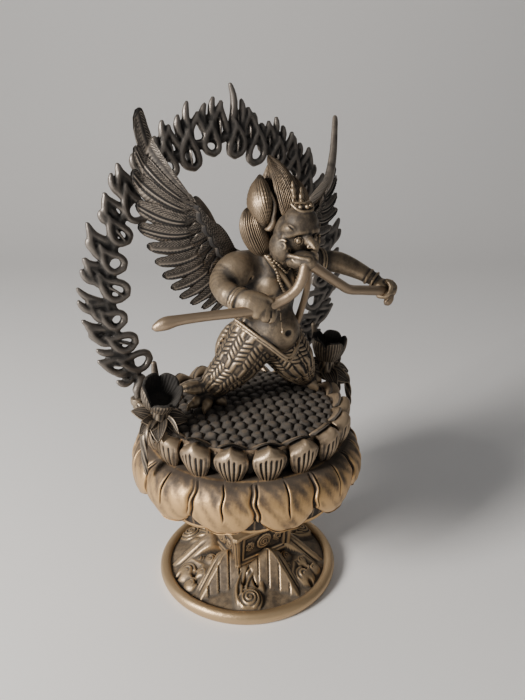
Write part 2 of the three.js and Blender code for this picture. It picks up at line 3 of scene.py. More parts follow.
import bpy
import numpy as np
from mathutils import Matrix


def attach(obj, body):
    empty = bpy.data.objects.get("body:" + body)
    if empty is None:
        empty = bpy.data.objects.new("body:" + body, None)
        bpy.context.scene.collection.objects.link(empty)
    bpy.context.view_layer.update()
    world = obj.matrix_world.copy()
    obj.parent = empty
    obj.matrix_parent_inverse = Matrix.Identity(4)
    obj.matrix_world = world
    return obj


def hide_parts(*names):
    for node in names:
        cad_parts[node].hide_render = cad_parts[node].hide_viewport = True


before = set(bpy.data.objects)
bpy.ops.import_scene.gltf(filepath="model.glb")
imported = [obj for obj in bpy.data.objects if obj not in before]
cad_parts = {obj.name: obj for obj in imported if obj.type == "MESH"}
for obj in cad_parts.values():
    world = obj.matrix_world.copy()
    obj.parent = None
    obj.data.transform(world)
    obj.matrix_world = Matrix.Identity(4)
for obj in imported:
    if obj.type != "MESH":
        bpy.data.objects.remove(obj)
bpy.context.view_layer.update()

import openvdb

# Studio
# A pale table top that sweeps up into a pale wall, a soft lamp beside the statue on its right, a
# weak one in front, and a camera that looks down on it from its right front, as in the photograph.

camera_turn = math.radians(-35)
camera_dip = math.radians(21.7)
picture_height = 700
focal_pixels = 660
sensor_height = 36
wall_start = 0.9
wall_curve = 0.8
sweep_line = [(-4, 0), (wall_start, 0)]
for turn in np.linspace(0.1, math.pi / 2, 16):
    sweep_line.append((wall_start + wall_curve * math.sin(turn), wall_curve - wall_curve * math.cos(turn)))
sweep_line.append((wall_start + wall_curve, 5))
away = np.array([-math.sin(camera_turn), math.cos(camera_turn)])
sideways = np.array([away[1], -away[0]])
sweep_points = [(*(away * far + sideways * aside), high) for far, high in sweep_line for aside in (-5, 5)]
table_mesh = bpy.data.meshes.new("table_top")
strips = [(2 * k, 2 * k + 1, 2 * k + 3, 2 * k + 2) for k in range(len(sweep_line) - 1)]
table_mesh.from_pydata(sweep_points, [], strips)
for face in table_mesh.polygons:
    face.use_smooth = True
table_top = bpy.data.objects.new("table_top", table_mesh)
bpy.context.scene.collection.objects.link(table_top)
pale_table = bpy.data.materials.new("pale_table")
pale_table.use_nodes = True
pale_shader = pale_table.node_tree.nodes["Principled BSDF"]
pale_shader.inputs["Base Color"].default_value = (0.86, 0.85, 0.84, 1)
pale_shader.inputs["Roughness"].default_value = 0.75
table_mesh.materials.append(pale_table)


def hang_lamp(name, place, aim, size, watts, tint):
    """A square lamp at a place, turned to face what it is aimed at."""
    lamp = bpy.data.lights.new(name, "AREA")
    lamp.size = size
    lamp.energy = watts
    lamp.color = tint
    holder = bpy.data.objects.new(name, lamp)
    bpy.context.scene.collection.objects.link(holder)
    holder.location = place
    direction = np.array(aim) - np.array(place)
    flat = math.hypot(direction[0], direction[1])
    holder.rotation_euler = (math.pi / 2 - math.atan2(-direction[2], flat), 0,
                             math.atan2(-direction[0], direction[1]))


hang_lamp("window_lamp", (-1.32, -0.04, 0.7), (0, 0, 0.15), 0.42, 38, (1, 0.96, 0.91))
hang_lamp("room_lamp", (0.2, -1.6, 1.0), (0, 0, 0.17), 1.2, 1.6, (0.93, 0.96, 1))

sky = bpy.data.worlds.new("room_light")
bpy.context.scene.world = sky
sky.use_nodes = True
sky.node_tree.nodes["Background"].inputs["Color"].default_value = (0.8, 0.81, 0.83, 1)
sky.node_tree.nodes["Background"].inputs["Strength"].default_value = 0.16

lens = bpy.data.cameras.new("camera")
lens.sensor_fit = "VERTICAL"
lens.sensor_height = sensor_height
lens.lens = sensor_height * focal_pixels / picture_height
camera = bpy.data.objects.new("camera", lens)
camera.location = (-0.2231, -0.3382, 0.334)
camera.rotation_euler = (math.pi / 2 - camera_dip, 0, camera_turn)
bpy.context.scene.collection.objects.link(camera)
bpy.context.scene.camera = camera

# Foot
# A round cast foot with a smooth rim, a field of rocks and breaking waves in relief, and a square
# block that widens upward, cast in one with it. Bronze, dusty brown, rubbed pale on its high places.

MILLIMETRE = 0.001
FOOT_RADIUS = 65
FIELD_RADIUS = 57
FIELD_HEART = 16
ROCKS = 6
FIRST_ROCK = math.radians(268)
PLANK_WIDTH = 7.2
ROCK_TOP = 29.5
COLUMNS_ROUND = 460
BLOCK_SIDE = 44
BLOCK_FLARE = 3
BLOCK_FOOT = 19
BLOCK_TOP = 47
BLOCK_TURN = math.radians(-2)
PANEL_WIDTH = 34
PANEL_HEIGHT = 18.4


def smooth(value, low, high):
    """0 on the low side and 1 on the high side, with a soft step between."""
    share = np.clip((value - low) / (high - low), 0, 1)
    return share * share * (3 - 2 * share)


def ridge(value, middle, width):
    """1 where the value is at the middle, fading to 0 about two widths to either side."""
    return np.exp(-(((value - middle) / width) ** 2))


def coil(x, y, pitch):
    """A ridge coiled round a middle: 1 on its crest, -1 in the groove beside it."""
    return np.cos(2 * math.pi * np.hypot(x, y) / pitch + np.arctan2(y, x))


def through(stops, values, places):
    """A smooth line through named values at named stops, read at the places given."""
    stops = np.asarray(stops, float)
    values = np.asarray(values, float)
    places = np.clip(places, stops[0], stops[-1])
    slopes = np.gradient(values, stops)
    k = np.clip(np.searchsorted(stops, places) - 1, 0, len(stops) - 2)
    span = stops[k + 1] - stops[k]
    t = (places - stops[k]) / span
    return ((2 * t**3 - 3 * t**2 + 1) * values[k] + (t**3 - 2 * t**2 + t) * span * slopes[k]
            + (3 * t**2 - 2 * t**3) * values[k + 1] + (t**3 - t**2) * span * slopes[k + 1])


def woven(rows, columns, round_rows=False, round_columns=False):
    """The four-sided faces of a net of points, rows by columns, closed round on either way."""
    i, j = np.meshgrid(np.arange(rows - (not round_rows)), np.arange(columns - (not round_columns)),
                       indexing="ij")
    i = i.ravel()
    j = j.ravel()
    below = (i + 1) % rows
    after = (j + 1) % columns
    return np.stack([i * columns + j, i * columns + after, below * columns + after,
                     below * columns + j], 1)


def turned_net(radii, heights, turns):
    """Points of a turned form: row by row up its section, column by column round its axis."""
    return np.stack([radii * np.cos(turns), radii * np.sin(turns), heights], -1)


def gather(bodies):
    """Several nets as one: each is its points and its four-sided faces."""
    points = []
    faces = []
    start = 0
    for net, quads in bodies:
        net = np.asarray(net, float).reshape(-1, 3)
        points.append(net)
        faces.append(np.asarray(quads) + start)
        start += len(net)
    return np.concatenate(points), np.concatenate(faces)


def evened(points, faces, rounds):
    """Where each point would lie if the surface were rubbed smooth, a little more each round."""
    corners = faces.shape[1]
    first = np.concatenate([faces[:, k] for k in range(corners)])
    second = np.concatenate([faces[:, (k + 1) % corners] for k in range(corners)])
    ones = np.bincount(first, minlength=len(points)) + np.bincount(second, minlength=len(points))
    ones = np.maximum(ones, 1)[:, None]
    moved = points.copy()
    for _ in range(rounds):
        total = np.stack([np.bincount(first, moved[second, k], len(points))
                          + np.bincount(second, moved[first, k], len(points)) for k in range(3)], 1)
        moved = total / ones
    return moved


def cast(name, points, faces, metal, slot, node, reach=(3, 16), soil_and_painted_shade=0.0):
    """A bronze piece from points in millimetres, with how far each point stands proud of the
    surface round it, narrowly and broadly, written on the mesh for its colour to follow, less
    its darkening: painted shade in the lotus cups and between the crown petals, plain darkening elsewhere."""
    mesh = bpy.data.meshes.new(name)
    mesh.vertices.add(len(points))
    mesh.vertices.foreach_set("co", (points * MILLIMETRE).ravel())
    mesh.loops.add(faces.size)
    mesh.loops.foreach_set("vertex_index", faces.ravel().astype(np.int32))
    mesh.polygons.add(len(faces))
    mesh.polygons.foreach_set("loop_start", np.arange(0, faces.size, faces.shape[1], dtype=np.int32))
    mesh.polygons.foreach_set("use_smooth", np.ones(len(faces), bool))
    mesh.update(calc_edges=True)
    mesh.validate()
    out = np.zeros(len(mesh.vertices) * 3, np.float32)
    mesh.vertices.foreach_get("normal", out)
    out = out.reshape(-1, 3)
    for label, rounds in zip(("edge_proud", "form_proud"), reach):
        # The darkening dulls the rub and deepens the dark colour. In the lotus cups and between the crown
        # petals it is painted shade.
        proud = ((points - evened(points, faces, rounds)) * out).sum(1) - soil_and_painted_shade
        mesh.attributes.new(label, "FLOAT", "POINT").data.foreach_set("value", proud.astype(np.float32))
    mesh.materials.append(metal)
    piece = bpy.data.objects.new(name, mesh)
    bpy.context.scene.collection.objects.link(piece)
    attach(piece, "root")
    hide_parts(node)


def build_patina():
    """What every bronze here shares: rubbed high places, brown coat, dirt in the hollows, dust on
    what faces up, and a grainy cast skin."""
    group = bpy.data.node_groups.new("aged_bronze", "ShaderNodeTree")
    for name, kind, start in (
            ("Rubbed", "NodeSocketColor", (0.5, 0.33, 0.16, 1)),
            ("Coat", "NodeSocketColor", (0.16, 0.1, 0.055, 1)),
            ("Dirt", "NodeSocketColor", (0.02, 0.014, 0.01, 1)),
            ("Dust", "NodeSocketColor", (0.3, 0.26, 0.22, 1)),
            ("Rub Amount", "NodeSocketFloat", 0.5), ("Edge Reach", "NodeSocketFloat", 0.1),
            ("Form Reach", "NodeSocketFloat", 0.6), ("Dust Amount", "NodeSocketFloat", 0.3),
            ("Grain", "NodeSocketFloat", 1.0)):
        socket = group.interface.new_socket(name, in_out="INPUT", socket_type=kind)
        socket.default_value = start
    for name, kind in (("Color", "NodeSocketColor"), ("Roughness", "NodeSocketFloat"),
                       ("Metallic", "NodeSocketFloat"), ("Height", "NodeSocketFloat")):
        group.interface.new_socket(name, in_out="OUTPUT", socket_type=kind)
    nodes = group.nodes
    links = group.links
    given = nodes.new("NodeGroupInput")
    made = nodes.new("NodeGroupOutput")

    def put(socket, value):
        if isinstance(value, bpy.types.NodeSocket):
            links.new(value, socket)
        else:
            socket.default_value = value

    def sum_of(kind, a, b=0.0, c=0.0):
        node = nodes.new("ShaderNodeMath")
        node.operation = kind
        for socket, value in zip(node.inputs, (a, b, c)):
            put(socket, value)
        return node.outputs[0]

    def spread(value, low, high, to_low=0.0, to_high=1.0):
        node = nodes.new("ShaderNodeMapRange")
        node.interpolation_type = "SMOOTHSTEP"
        for socket, number in zip(node.inputs, (value, low, high, to_low, to_high)):
            put(socket, number)
        return node.outputs[0]

    def blend(share, a, b):
        node = nodes.new("ShaderNodeMix")
        node.data_type = "RGBA"
        for label, value in (("Factor_Float", share), ("A_Color", a), ("B_Color", b)):
            put(next(s for s in node.inputs if s.identifier == label), value)
        return next(s for s in node.outputs if s.identifier == "Result_Color")

    place = nodes.new("ShaderNodeTexCoord").outputs["Object"]

    def cloud(scale, detail, roughness=0.6, twist=0.0):
        node = nodes.new("ShaderNodeTexNoise")
        put(node.inputs["Vector"], place)
        put(node.inputs["Scale"], scale)
        put(node.inputs["Detail"], detail)
        put(node.inputs["Roughness"], roughness)
        put(node.inputs["Distortion"], twist)
        return node.outputs["Fac"]

    def written(label):
        node = nodes.new("ShaderNodeAttribute")
        node.attribute_name = label
        return node.outputs["Fac"]

    edge = sum_of("DIVIDE", written("edge_proud"), given.outputs["Edge Reach"])
    form = sum_of("DIVIDE", written("form_proud"), given.outputs["Form Reach"])
    stains = cloud(38, 6, 0.62, 0.8)
    speckle = cloud(230, 5, 0.7)
    grit = cloud(1100, 3, 0.6)
    rise = sum_of("ADD", sum_of("MULTIPLY", edge, 0.55), sum_of("MULTIPLY", form, 0.45))
    worn = sum_of("ADD", rise, sum_of("MULTIPLY", sum_of("SUBTRACT", stains, 0.5), 1.7))
    worn = sum_of("ADD", worn, sum_of("MULTIPLY", sum_of("SUBTRACT", speckle, 0.5), 0.9))
    worn = sum_of("ADD", worn, sum_of("SUBTRACT", given.outputs["Rub Amount"], 0.5))
    rub = spread(worn, -0.25, 1.05)
    deep = spread(sum_of("ADD", rise, sum_of("MULTIPLY", sum_of("SUBTRACT", speckle, 0.5), 0.5)),
                  -0.15, -1.0)
    normal = nodes.new("ShaderNodeNewGeometry").outputs["Normal"]
    split = nodes.new("ShaderNodeSeparateXYZ")
    put(split.inputs[0], normal)
    upward = spread(split.outputs["Z"], 0.1, 0.95)
    settled = sum_of("MULTIPLY", sum_of("MULTIPLY", upward, given.outputs["Dust Amount"]),
                     spread(sum_of("ADD", stains, sum_of("MULTIPLY", rise, -0.2)), 0.3, 0.75))
    coat = blend(spread(speckle, 0.35, 0.75), given.outputs["Coat"],
                 blend(0.2, given.outputs["Coat"], given.outputs["Rubbed"]))
    color = blend(rub, coat, given.outputs["Rubbed"])
    color = blend(sum_of("MULTIPLY", deep, 0.92), color, given.outputs["Dirt"])
    color = blend(settled, color, given.outputs["Dust"])
    put(made.inputs["Color"], color)
    rough = spread(rub, 0.0, 1.0, 0.52, 0.34)
    rough = sum_of("ADD", rough, sum_of("MULTIPLY", deep, 0.25))
    rough = sum_of("ADD", rough, sum_of("MULTIPLY", settled, 0.35))
    put(made.inputs["Roughness"], sum_of("ADD", rough, sum_of("MULTIPLY", grit, 0.12)))
    metal = sum_of("SUBTRACT", spread(rub, 0.0, 1.0, 0.4, 0.75), sum_of("MULTIPLY", deep, 0.3))
    put(made.inputs["Metallic"], sum_of("MAXIMUM", sum_of("SUBTRACT", metal, settled), 0.0))
    bumps = sum_of("ADD", sum_of("MULTIPLY", grit, 0.35), speckle)
    put(made.inputs["Height"], sum_of("MULTIPLY", bumps, given.outputs["Grain"]))
    return group


aged_bronze = build_patina()


def bronze(name, values):
    """A bronze of its own colours and wear, with the shared ageing."""
    material = bpy.data.materials.new(name)
    material.use_nodes = True
    nodes = material.node_tree.nodes
    links = material.node_tree.links
    shader = nodes["Principled BSDF"]
    ageing = nodes.new("ShaderNodeGroup")
    ageing.node_tree = aged_bronze
    for label, value in values.items():
        ageing.inputs[label].default_value = (*value, 1) if isinstance(value, tuple) else value
    bump = nodes.new("ShaderNodeBump")
    bump.inputs["Strength"].default_value = 0.5
    bump.inputs["Distance"].default_value = 0.0006
    links.new(ageing.outputs["Height"], bump.inputs["Height"])
    links.new(bump.outputs["Normal"], shader.inputs["Normal"])
    for output, socket in (("Color", "Base Color"), ("Roughness", "Roughness"), ("Metallic", "Metallic")):
        links.new(ageing.outputs[output], shader.inputs[socket])
    return material


dusty_bronze = bronze("dusty_bronze", {
    "Rubbed": (0.46, 0.325, 0.185), "Coat": (0.078, 0.058, 0.04), "Dirt": (0.012, 0.009, 0.007),
    "Dust": (0.16, 0.13, 0.095), "Rub Amount": 0.56, "Edge Reach": 0.16, "Form Reach": 1.4,
    "Dust Amount": 0.5})


def rock_relief(aside, outward, mirror):
    """A mountain leaning on the block: one broad smooth facet with a crease and, past its ridge, a
    face of slanting planks that lie side by side and end unevenly."""
    m = aside * mirror
    run = outward - 24
    past = m - (-1.5 - 0.16 * run)
    crest = through([-4, 2, 8, 16, 24, 32], [26, 29, 26.5, 20, 13, 6], run)
    smooth_side = crest - 0.42 * np.maximum(-past, 0) - 0.028 * np.maximum(-past, 0) ** 2
    crease = -2.4 * ridge(past + 0.05 * run, -3.4, 0.8) * smooth(run, 5, 12)
    slant = math.radians(31)
    lean = (m * math.cos(slant) - run * math.sin(slant)) / PLANK_WIDTH + 0.3
    which = np.floor(lean)
    inside = lean - which
    board = smooth(inside, 0, 0.12) * (0.4 + 0.6 * inside) * smooth(inside, 1.0, 0.94)
    along = m * math.sin(slant) + run * math.cos(slant) + 2.2 * np.sin(2.4 * which)
    planks = crest - 0.62 * np.maximum(past, 0) - 2.4 + 2.9 * board - 4 * smooth(along, 24, 26.5)
    top = np.where(past < 0, smooth_side + crease, np.minimum(planks, crest))
    ends = smooth(m, 15.5 + 0.1 * run, 13.4 + 0.1 * run) * smooth(m, -12 - 0.12 * run, -9.6 - 0.12 * run)
    return np.where(ends > 0, top * ends + 5 * (1 - ends), 0)


def slab_relief(aside, outward, mirror):
    """A low rock beside a mountain: two flat facets that meet in a sharp ridge."""
    m = aside * mirror
    run = outward - 36
    crest = through([-6, 0, 8, 18], [15, 20, 14, 6], run)
    past = m - 0.12 * run
    return np.minimum(crest - 0.55 * np.abs(past), 15.5 - 0.1 * run) - 0.5 * np.maximum(past, 0)


def wave_relief(aside, outward, mirror):
    """A curling wave: a coiled dome, two hollow drops above it, and strands that sweep up past it."""
    x = aside * mirror
    y = outward - 50
    far = np.hypot(x, y)
    strands = 0.8 * coil(x, y, 2.45) * smooth(far, 0.5, 1.8) * smooth(far, 9.2, 7.6)
    dome = (5.0 * np.sqrt(np.clip(1 - (far / 9.2) ** 2, 0, 1)) + strands) * smooth(far, 9.3, 8.6)
    sweep_far = np.hypot(x + 15.5, outward - 45)
    within = smooth(sweep_far, 27.5, 25.5) * smooth(sweep_far, 16, 17.5) * (x > -3)
    within = within * smooth(outward, 57, 51) * smooth(outward, 22, 27)
    sweep = (3.0 + 1.2 * np.cos(2 * math.pi * sweep_far / 3.5)) * within
    bank = 2.6 * smooth(outward, 47, 41) * smooth(np.abs(x), 12, 9)
    drops = 0
    for px, py, lean in ((-4.8, 37.5, 0.25), (3.2, 36.5, -0.3)):
        drops = drops - 5.0 * np.exp(-(((x - px + lean * (outward - py)) / 1.7) ** 2
                                       + ((outward - py) / 3.4) ** 2) ** 1.6)
    return np.maximum(np.maximum(dome, sweep), bank) + drops


def cloud_relief(aside, outward, mirror):
    """Heaped scrolls: big rounded boulders with a few nested arcs, and dark hollows under them."""
    x = aside * mirror
    heap = 0
    for px, py, size, rise in ((-4.5, 48.5, 7.6, 4.6), (6.6, 51, 5.2, 3.4), (5.4, 41.5, 5.6, 4.4),
                               (-7.4, 37.5, 5.2, 4.4), (0.5, 32, 5.4, 4.2), (10.5, 44, 3.6, 3.2)):
        far = np.hypot(x - px, (outward - py) * 1.1)
        lobe = rise * np.sqrt(np.clip(1 - (far / (size * 1.12)) ** 2, 0, 1))
        arcs = 0.62 * np.cos(2 * math.pi * far / (size * 0.42)) * smooth(outward - py, 1.5, -1.5)
        heap = np.maximum(heap, lobe + arcs * smooth(far, size * 1.1, size * 0.95))
    hollows = 0
    for px, py in ((-6.5, 54.5), (1.8, 45.6), (8.6, 46.4), (-1.6, 39.4)):
        hollows = hollows - 4.2 * np.exp(-(((x - px) / 1.7) ** 2 + ((outward - py) / 2.0) ** 2) ** 1.5)
    return heap + hollows


def foot_field():
    """The foot's turned disc, rows from the block out over the relief and the rim, to the axis below."""
    turns = np.arange(COLUMNS_ROUND) / COLUMNS_ROUND * 2 * math.pi
    field_radii = np.linspace(FIELD_HEART, FIELD_RADIUS, 68)
    slope = through([FIELD_HEART, 22, 40, FIELD_RADIUS], [18.6, 17.6, 11.0, 5.2], field_radii)
    radii, angles = np.meshgrid(field_radii, turns, indexing="ij")
    ground = np.repeat(slope[:, None], COLUMNS_ROUND, 1)
    top = ground.copy()

    def seen_from(turn):
        return radii * np.sin(angles - turn), radii * np.cos(angles - turn)

    rocks = [(k % 2, FIRST_ROCK + 2 * math.pi * k / ROCKS) for k in range(ROCKS)]
    for odd, rock_turn in rocks:
        mirror = 1 if odd else -1
        aside, outward = seen_from(rock_turn + math.pi / ROCKS)
        relief = (wave_relief if odd else cloud_relief)(aside, outward, -mirror)
        raised = ground + relief * smooth(np.abs(aside), 15, 11.5)
        near = (outward > 8) & (np.abs(aside) < 15)
        joined = np.where(raised < ground, np.minimum(top, raised), np.maximum(top, raised))
        top = np.where(near, joined, top)
    for odd, rock_turn in rocks:
        mirror = 1 if odd else -1
        for shape, shift in ((slab_relief, -0.3 * mirror), (rock_relief, 0.0)):
            aside, outward = seen_from(rock_turn + shift)
            rock = shape(aside, outward, mirror)
            top = np.where((outward > 20) & (rock > ground), np.maximum(top, rock), top)
    top = np.minimum(top, ROCK_TOP) - ground
    top = ground + top * smooth(radii, 57.4, 55.4)
    rim_inset = np.array([7.8, 7.5, 6.7, 5.4, 3.8, 2.2, 1.0, 0.2, 0, 0.3, 0.9, 1.8, 5, 20, 40, 64.5])
    rim_heights = np.array([5.3, 6.2, 7.5, 8.4, 8.7, 8.2, 7.1, 5.6, 4.1, 2.5, 1.1, 0.2, 0.0, 0.0, 0.0, 0.0])
    wobble = 0.3 * np.cos(3 * turns + 1) + 0.2 * np.cos(7 * turns)
    rim = rim_heights[:, None] + wobble * smooth(rim_heights, 2, 8)[:, None]
    all_radii = np.concatenate([field_radii, FOOT_RADIUS - rim_inset])
    radii, angles = np.meshgrid(all_radii, turns, indexing="ij")
    points = turned_net(radii, np.concatenate([top, rim]), angles)
    return points, woven(len(all_radii), COLUMNS_ROUND, round_columns=True)[:, ::-1]


def block_panels():
    """The block, a net that runs round its four faces: a framed panel on each, with a round coiled
    flower between two sprays in the panel."""
    side_columns = 52
    lowest = 8
    height = np.linspace(lowest, BLOCK_TOP, 44)
    u, v = np.meshgrid(np.linspace(-1, 1, side_columns, endpoint=False), height, indexing="xy")
    half = BLOCK_SIDE / 2 + BLOCK_FLARE * through([0, BLOCK_FOOT, 38, BLOCK_TOP], [0, 0, 0.55, 1], v)
    a = u * half
    b = v - (BLOCK_FOOT + BLOCK_TOP) / 2 - 1
    box = 2 * np.maximum(np.abs(a) / PANEL_WIDTH, np.abs(b) / PANEL_HEIGHT)
    dip = -1.7 * smooth(box, 1.0, 0.95) - 0.8 * ridge(box, 1.12, 0.03)
    far = np.hypot(a, b)
    flower = (1.3 * smooth(far, 6.6, 5.8) + 0.55 * coil(a, b, 2.1)) * smooth(far, 6.8, 6.2)
    spray_far = np.hypot(np.abs(a) - 12.2, b * 1.1)
    spray = (1.1 + 0.5 * np.cos(2 * math.pi * spray_far / 1.9)) * smooth(spray_far, 4.2, 3.6)
    dip = dip + np.maximum(flower, spray) * smooth(box, 0.95, 0.88)
    bands = 0.8 * ridge(v, 44.6, 1.1) + 0.6 * ridge(v, 21.2, 0.9)
    post = 0.7 * smooth(np.abs(u), 0.84, 0.88) * smooth(np.abs(u), 1.0, 0.97)
    out = half + dip * 0.8 + bands + post - 0.5 * smooth(np.abs(u), 0.96, 1)
    x = a * out / half
    faces_round = []
    for side in range(4):
        turn = BLOCK_TURN + (side - 1) * math.pi / 2
        faces_round.append(np.stack([out * math.cos(turn) - x * math.sin(turn),
                                     out * math.sin(turn) + x * math.cos(turn), v], -1))
    points = np.concatenate(faces_round, 1)
    cap = points[-1:]
    points = np.concatenate([points, cap * [0.97, 0.97, 1], cap * [0.05, 0.05, 1]])
    return points, woven(len(points), 4 * side_columns, round_columns=True)


cast("foot_and_block_relief", *gather([foot_field(), block_panels()]), dusty_bronze, "foot_bronze",
     "foot_and_block")


# Lotus throne, hanging petals
# Twelve broad petals hang round the throne and meet edge to edge, each with a thin raised rim and
# a slit down its middle. One bronze casting with the rest of the throne, rubbed golden by hands.

THRONE_FOOT = 47.3
NECK_RADIUS = 22
LEDGE_HEIGHT = 114.3
SKIRT_PETALS = 12
SKIRT_TURN = math.radians(240)
SKIRT_RADII = [74.4, 76.5, 78.1, 78.8, 78.4, 76.9, 74.3, 70.8, 66.5]
SKIRT_HEIGHTS = [82.3, 84.4, 88.2, 93.8, 99.6, 105.0, 109.6, 112.6, 114.2]

golden_bronze = bronze("golden_bronze", {
    "Rubbed": (0.57, 0.365, 0.17), "Coat": (0.1, 0.067, 0.041), "Dirt": (0.014, 0.01, 0.008),
    "Dust": (0.17, 0.13, 0.092), "Rub Amount": 0.76, "Edge Reach": 0.16, "Form Reach": 1.3,
    "Dust Amount": 0.3})


def hanging_petals():
    """The skirt of petals. Its columns follow the wavy lines between the petals, closer together at
    the rim of each petal and at the slit in its middle. Also says how much each point is darkened:
    more towards the top, in the slit and the grooves, and on the rows tucked under and inside."""
    shares = np.array([0, 0.004, 0.01, 0.018, 0.026, 0.034, 0.042, 0.05, 0.057, 0.064, 0.071, 0.08, 0.1,
                       0.13, 0.17, 0.22, 0.27, 0.32, 0.37, 0.41, 0.44, 0.463, 0.478, 0.487, 0.494, 0.5,
                       0.506, 0.513, 0.522, 0.537, 0.56, 0.6, 0.65, 0.7, 0.75, 0.8, 0.85, 0.89, 0.92,
                       0.945, 0.965, 0.98, 0.992])
    petal = np.repeat(np.arange(SKIRT_PETALS), len(shares))
    share = np.tile(shares, SKIRT_PETALS)
    t = np.linspace(0, 1, 50)[:, None] ** 1.35

    def edge_line(which):
        which = which % SKIRT_PETALS
        wave = 0.028 * np.sin(2 * math.pi * (1.15 * t + 0.31 * which))
        return wave + 0.012 * np.sin(19 * t + 2.3 * which)

    drift = (1 - share) * edge_line(petal) + share * edge_line(petal + 1)
    bowed = 0.035 * np.sin(2.3 * petal + 1) * np.sin(math.pi * t) * (1 - np.abs(2 * share - 1))
    angles = SKIRT_TURN + (petal + share + drift + bowed) * 2 * math.pi / SKIRT_PETALS
    stops = np.linspace(0, 1, len(SKIRT_RADII))
    radii = through(stops, SKIRT_RADII, t) + 0 * angles
    heights = through(stops, SKIRT_HEIGHTS, t) + 0 * angles
    middle = 2 * share - 1
    swell = 1.9 * (1 - np.abs(middle) ** 2.4) - 1.1
    lip_rise = 12.5 * np.abs(middle) ** 2.6 * (1 - t) ** 2.2
    lip_rise = lip_rise + 0.4 * np.cos(9 * middle + petal) * (1 - t) ** 4
    low = t * 50 + 3 * np.abs(middle) ** 2.8
    rim = np.maximum(smooth(share, 0.042, 0.026) * smooth(share, -0.004, 0.01), smooth(low, 1.9, 1.1))
    groove = ridge(share, 0.058, 0.011) * smooth(low, 1.5, 4)
    groove = np.maximum(groove, ridge(low, 2.8, 0.7) * smooth(share, 0.045, 0.065))
    tuck = smooth(share, 0.93, 0.985)
    slit = ridge(share, 0.5, 0.012) * smooth(t, 0.34, 0.5)
    cheeks = ridge(share, 0.5, 0.07) * smooth(t, 0.3, 0.6)
    dents = 0.25 * np.sin(11 * share + 3 * petal) * np.sin(7 * t + petal)
    dents = dents + 0.12 * np.sin(31 * share + 19 * t)
    cut = 1.3 * rim - 1.2 * groove - 1.5 * tuck - 2.6 * slit + 0.5 * cheeks + dents
    radii = radii + swell * smooth(t, 1, 0.85) + cut * smooth(t, 0.97, 0.86)
    outer = turned_net(radii, heights + lip_rise, angles)

    def drawn_in(row, shrink, rise):
        return row * [shrink, shrink, 1] + [0, 0, rise]

    under = [drawn_in(outer[0], shrink, rise)
             for shrink, rise in ((0.74, 4.5), (0.9, 2.5), (0.965, 0), (0.985, -0.5))]
    over = [drawn_in(outer[-1], 0.95, 0), drawn_in(outer[-1], 0.86, -0.6)]
    points = np.concatenate([under, outer, over])
    soil_and_painted_shade = 0.4 * smooth(t, 0.4, 1.05) + 0.7 * slit + 0.3 * groove + 0 * angles
    soil_and_painted_shade = np.concatenate([np.full((4, len(share)), 0.35), soil_and_painted_shade, np.full((2, len(share)), 0.6)])
    return points, woven(len(points), len(share), round_columns=True), soil_and_painted_shade.ravel()


def neck_and_leaves():
    """The throat between the block and the petals, and a lower ring of dark leaves that shows where
    two hanging petals meet."""
    columns = 20 * SKIRT_PETALS
    turns = SKIRT_TURN + np.arange(columns) / columns * 2 * math.pi
    throat_radii = [2, NECK_RADIUS, NECK_RADIUS + 3, NECK_RADIUS + 12, 46, 56, 60]
    throat_heights = [THRONE_FOOT, THRONE_FOOT, 52, 66, 76, 81.5, 90]
    stops = np.linspace(0, 1, len(throat_radii))
    t, angles = np.meshgrid(np.linspace(0, 1, 24), turns, indexing="ij")
    scallop = np.abs(np.cos((angles - SKIRT_TURN) * SKIRT_PETALS / 2))
    radii = through(stops, throat_radii, t) + 2.2 * scallop * smooth(t, 0.2, 0.45)
    heights = through(stops, throat_heights, t) - 2.4 * scallop * smooth(t, 0.25, 0.6)
    throat = turned_net(np.maximum(radii, 1), np.maximum(heights, THRONE_FOOT), angles)
    t, angles = np.meshgrid(np.linspace(0, 1, 10), turns, indexing="ij")
    leaf = np.abs(np.sin((angles - SKIRT_TURN) * SKIRT_PETALS / 2 + math.pi / 2))
    veins = 0.3 * np.cos((angles - SKIRT_TURN) * SKIRT_PETALS * 6)
    rolled = 0.9 * smooth(t, 0.16, 0.04)
    radii = 72.4 + 2.6 * t + veins * smooth(t, 0.1, 0.3) + rolled
    heights = 92 - (1 - t) * (7.0 + 3.2 * leaf**1.5)
    leaves = turned_net(radii, heights, angles)
    inside = turned_net(radii - 6, heights + 1, angles)[::-1]
    leaves = np.concatenate([inside, leaves])
    return [(throat, woven(len(throat), columns, round_columns=True)),
            (leaves, woven(len(leaves), columns, round_columns=True))]


petal_points, petal_faces, petal_darkening = hanging_petals()
neck_bodies = neck_and_leaves()
neck_soil = np.full(sum(len(net.reshape(-1, 3)) for net, faces in neck_bodies), 0.4)
cast("hanging_petals", *gather([(petal_points, petal_faces), *neck_bodies]), golden_bronze,
     "throne_bronze", "lotus_throne", reach=(3, 20), soil_and_painted_shade=np.concatenate([petal_darkening, neck_soil]))

# Lotus throne, upright petals
# Eighteen hooded petals stand in a ring on the ledge, cut with deep upright grooves under a smooth
# cap, with the curled edge of an inner petal behind each. Part of the same casting, browner.

CROWN_RADIUS = 65
CROWN_TOP = 136.3
CROWN_PETALS = 18
CROWN_TURN = math.radians(248.6)

brown_bronze = bronze("brown_bronze", {
    "Rubbed": (0.4, 0.3, 0.2), "Coat": (0.055, 0.042, 0.031), "Dirt": (0.007, 0.0055, 0.0045),
    "Dust": (0.15, 0.125, 0.1), "Rub Amount": 0.36, "Edge Reach": 0.16, "Form Reach": 1.3,
    "Dust Amount": 0.35})
mound_bronze = bronze("mound_bronze", {
    "Rubbed": (0.4, 0.295, 0.2), "Coat": (0.1, 0.075, 0.053), "Dirt": (0.006, 0.005, 0.0045),
    "Dust": (0.16, 0.14, 0.12), "Rub Amount": 0.36, "Edge Reach": 0.2, "Form Reach": 0.9,
    "Dust Amount": 0.35})


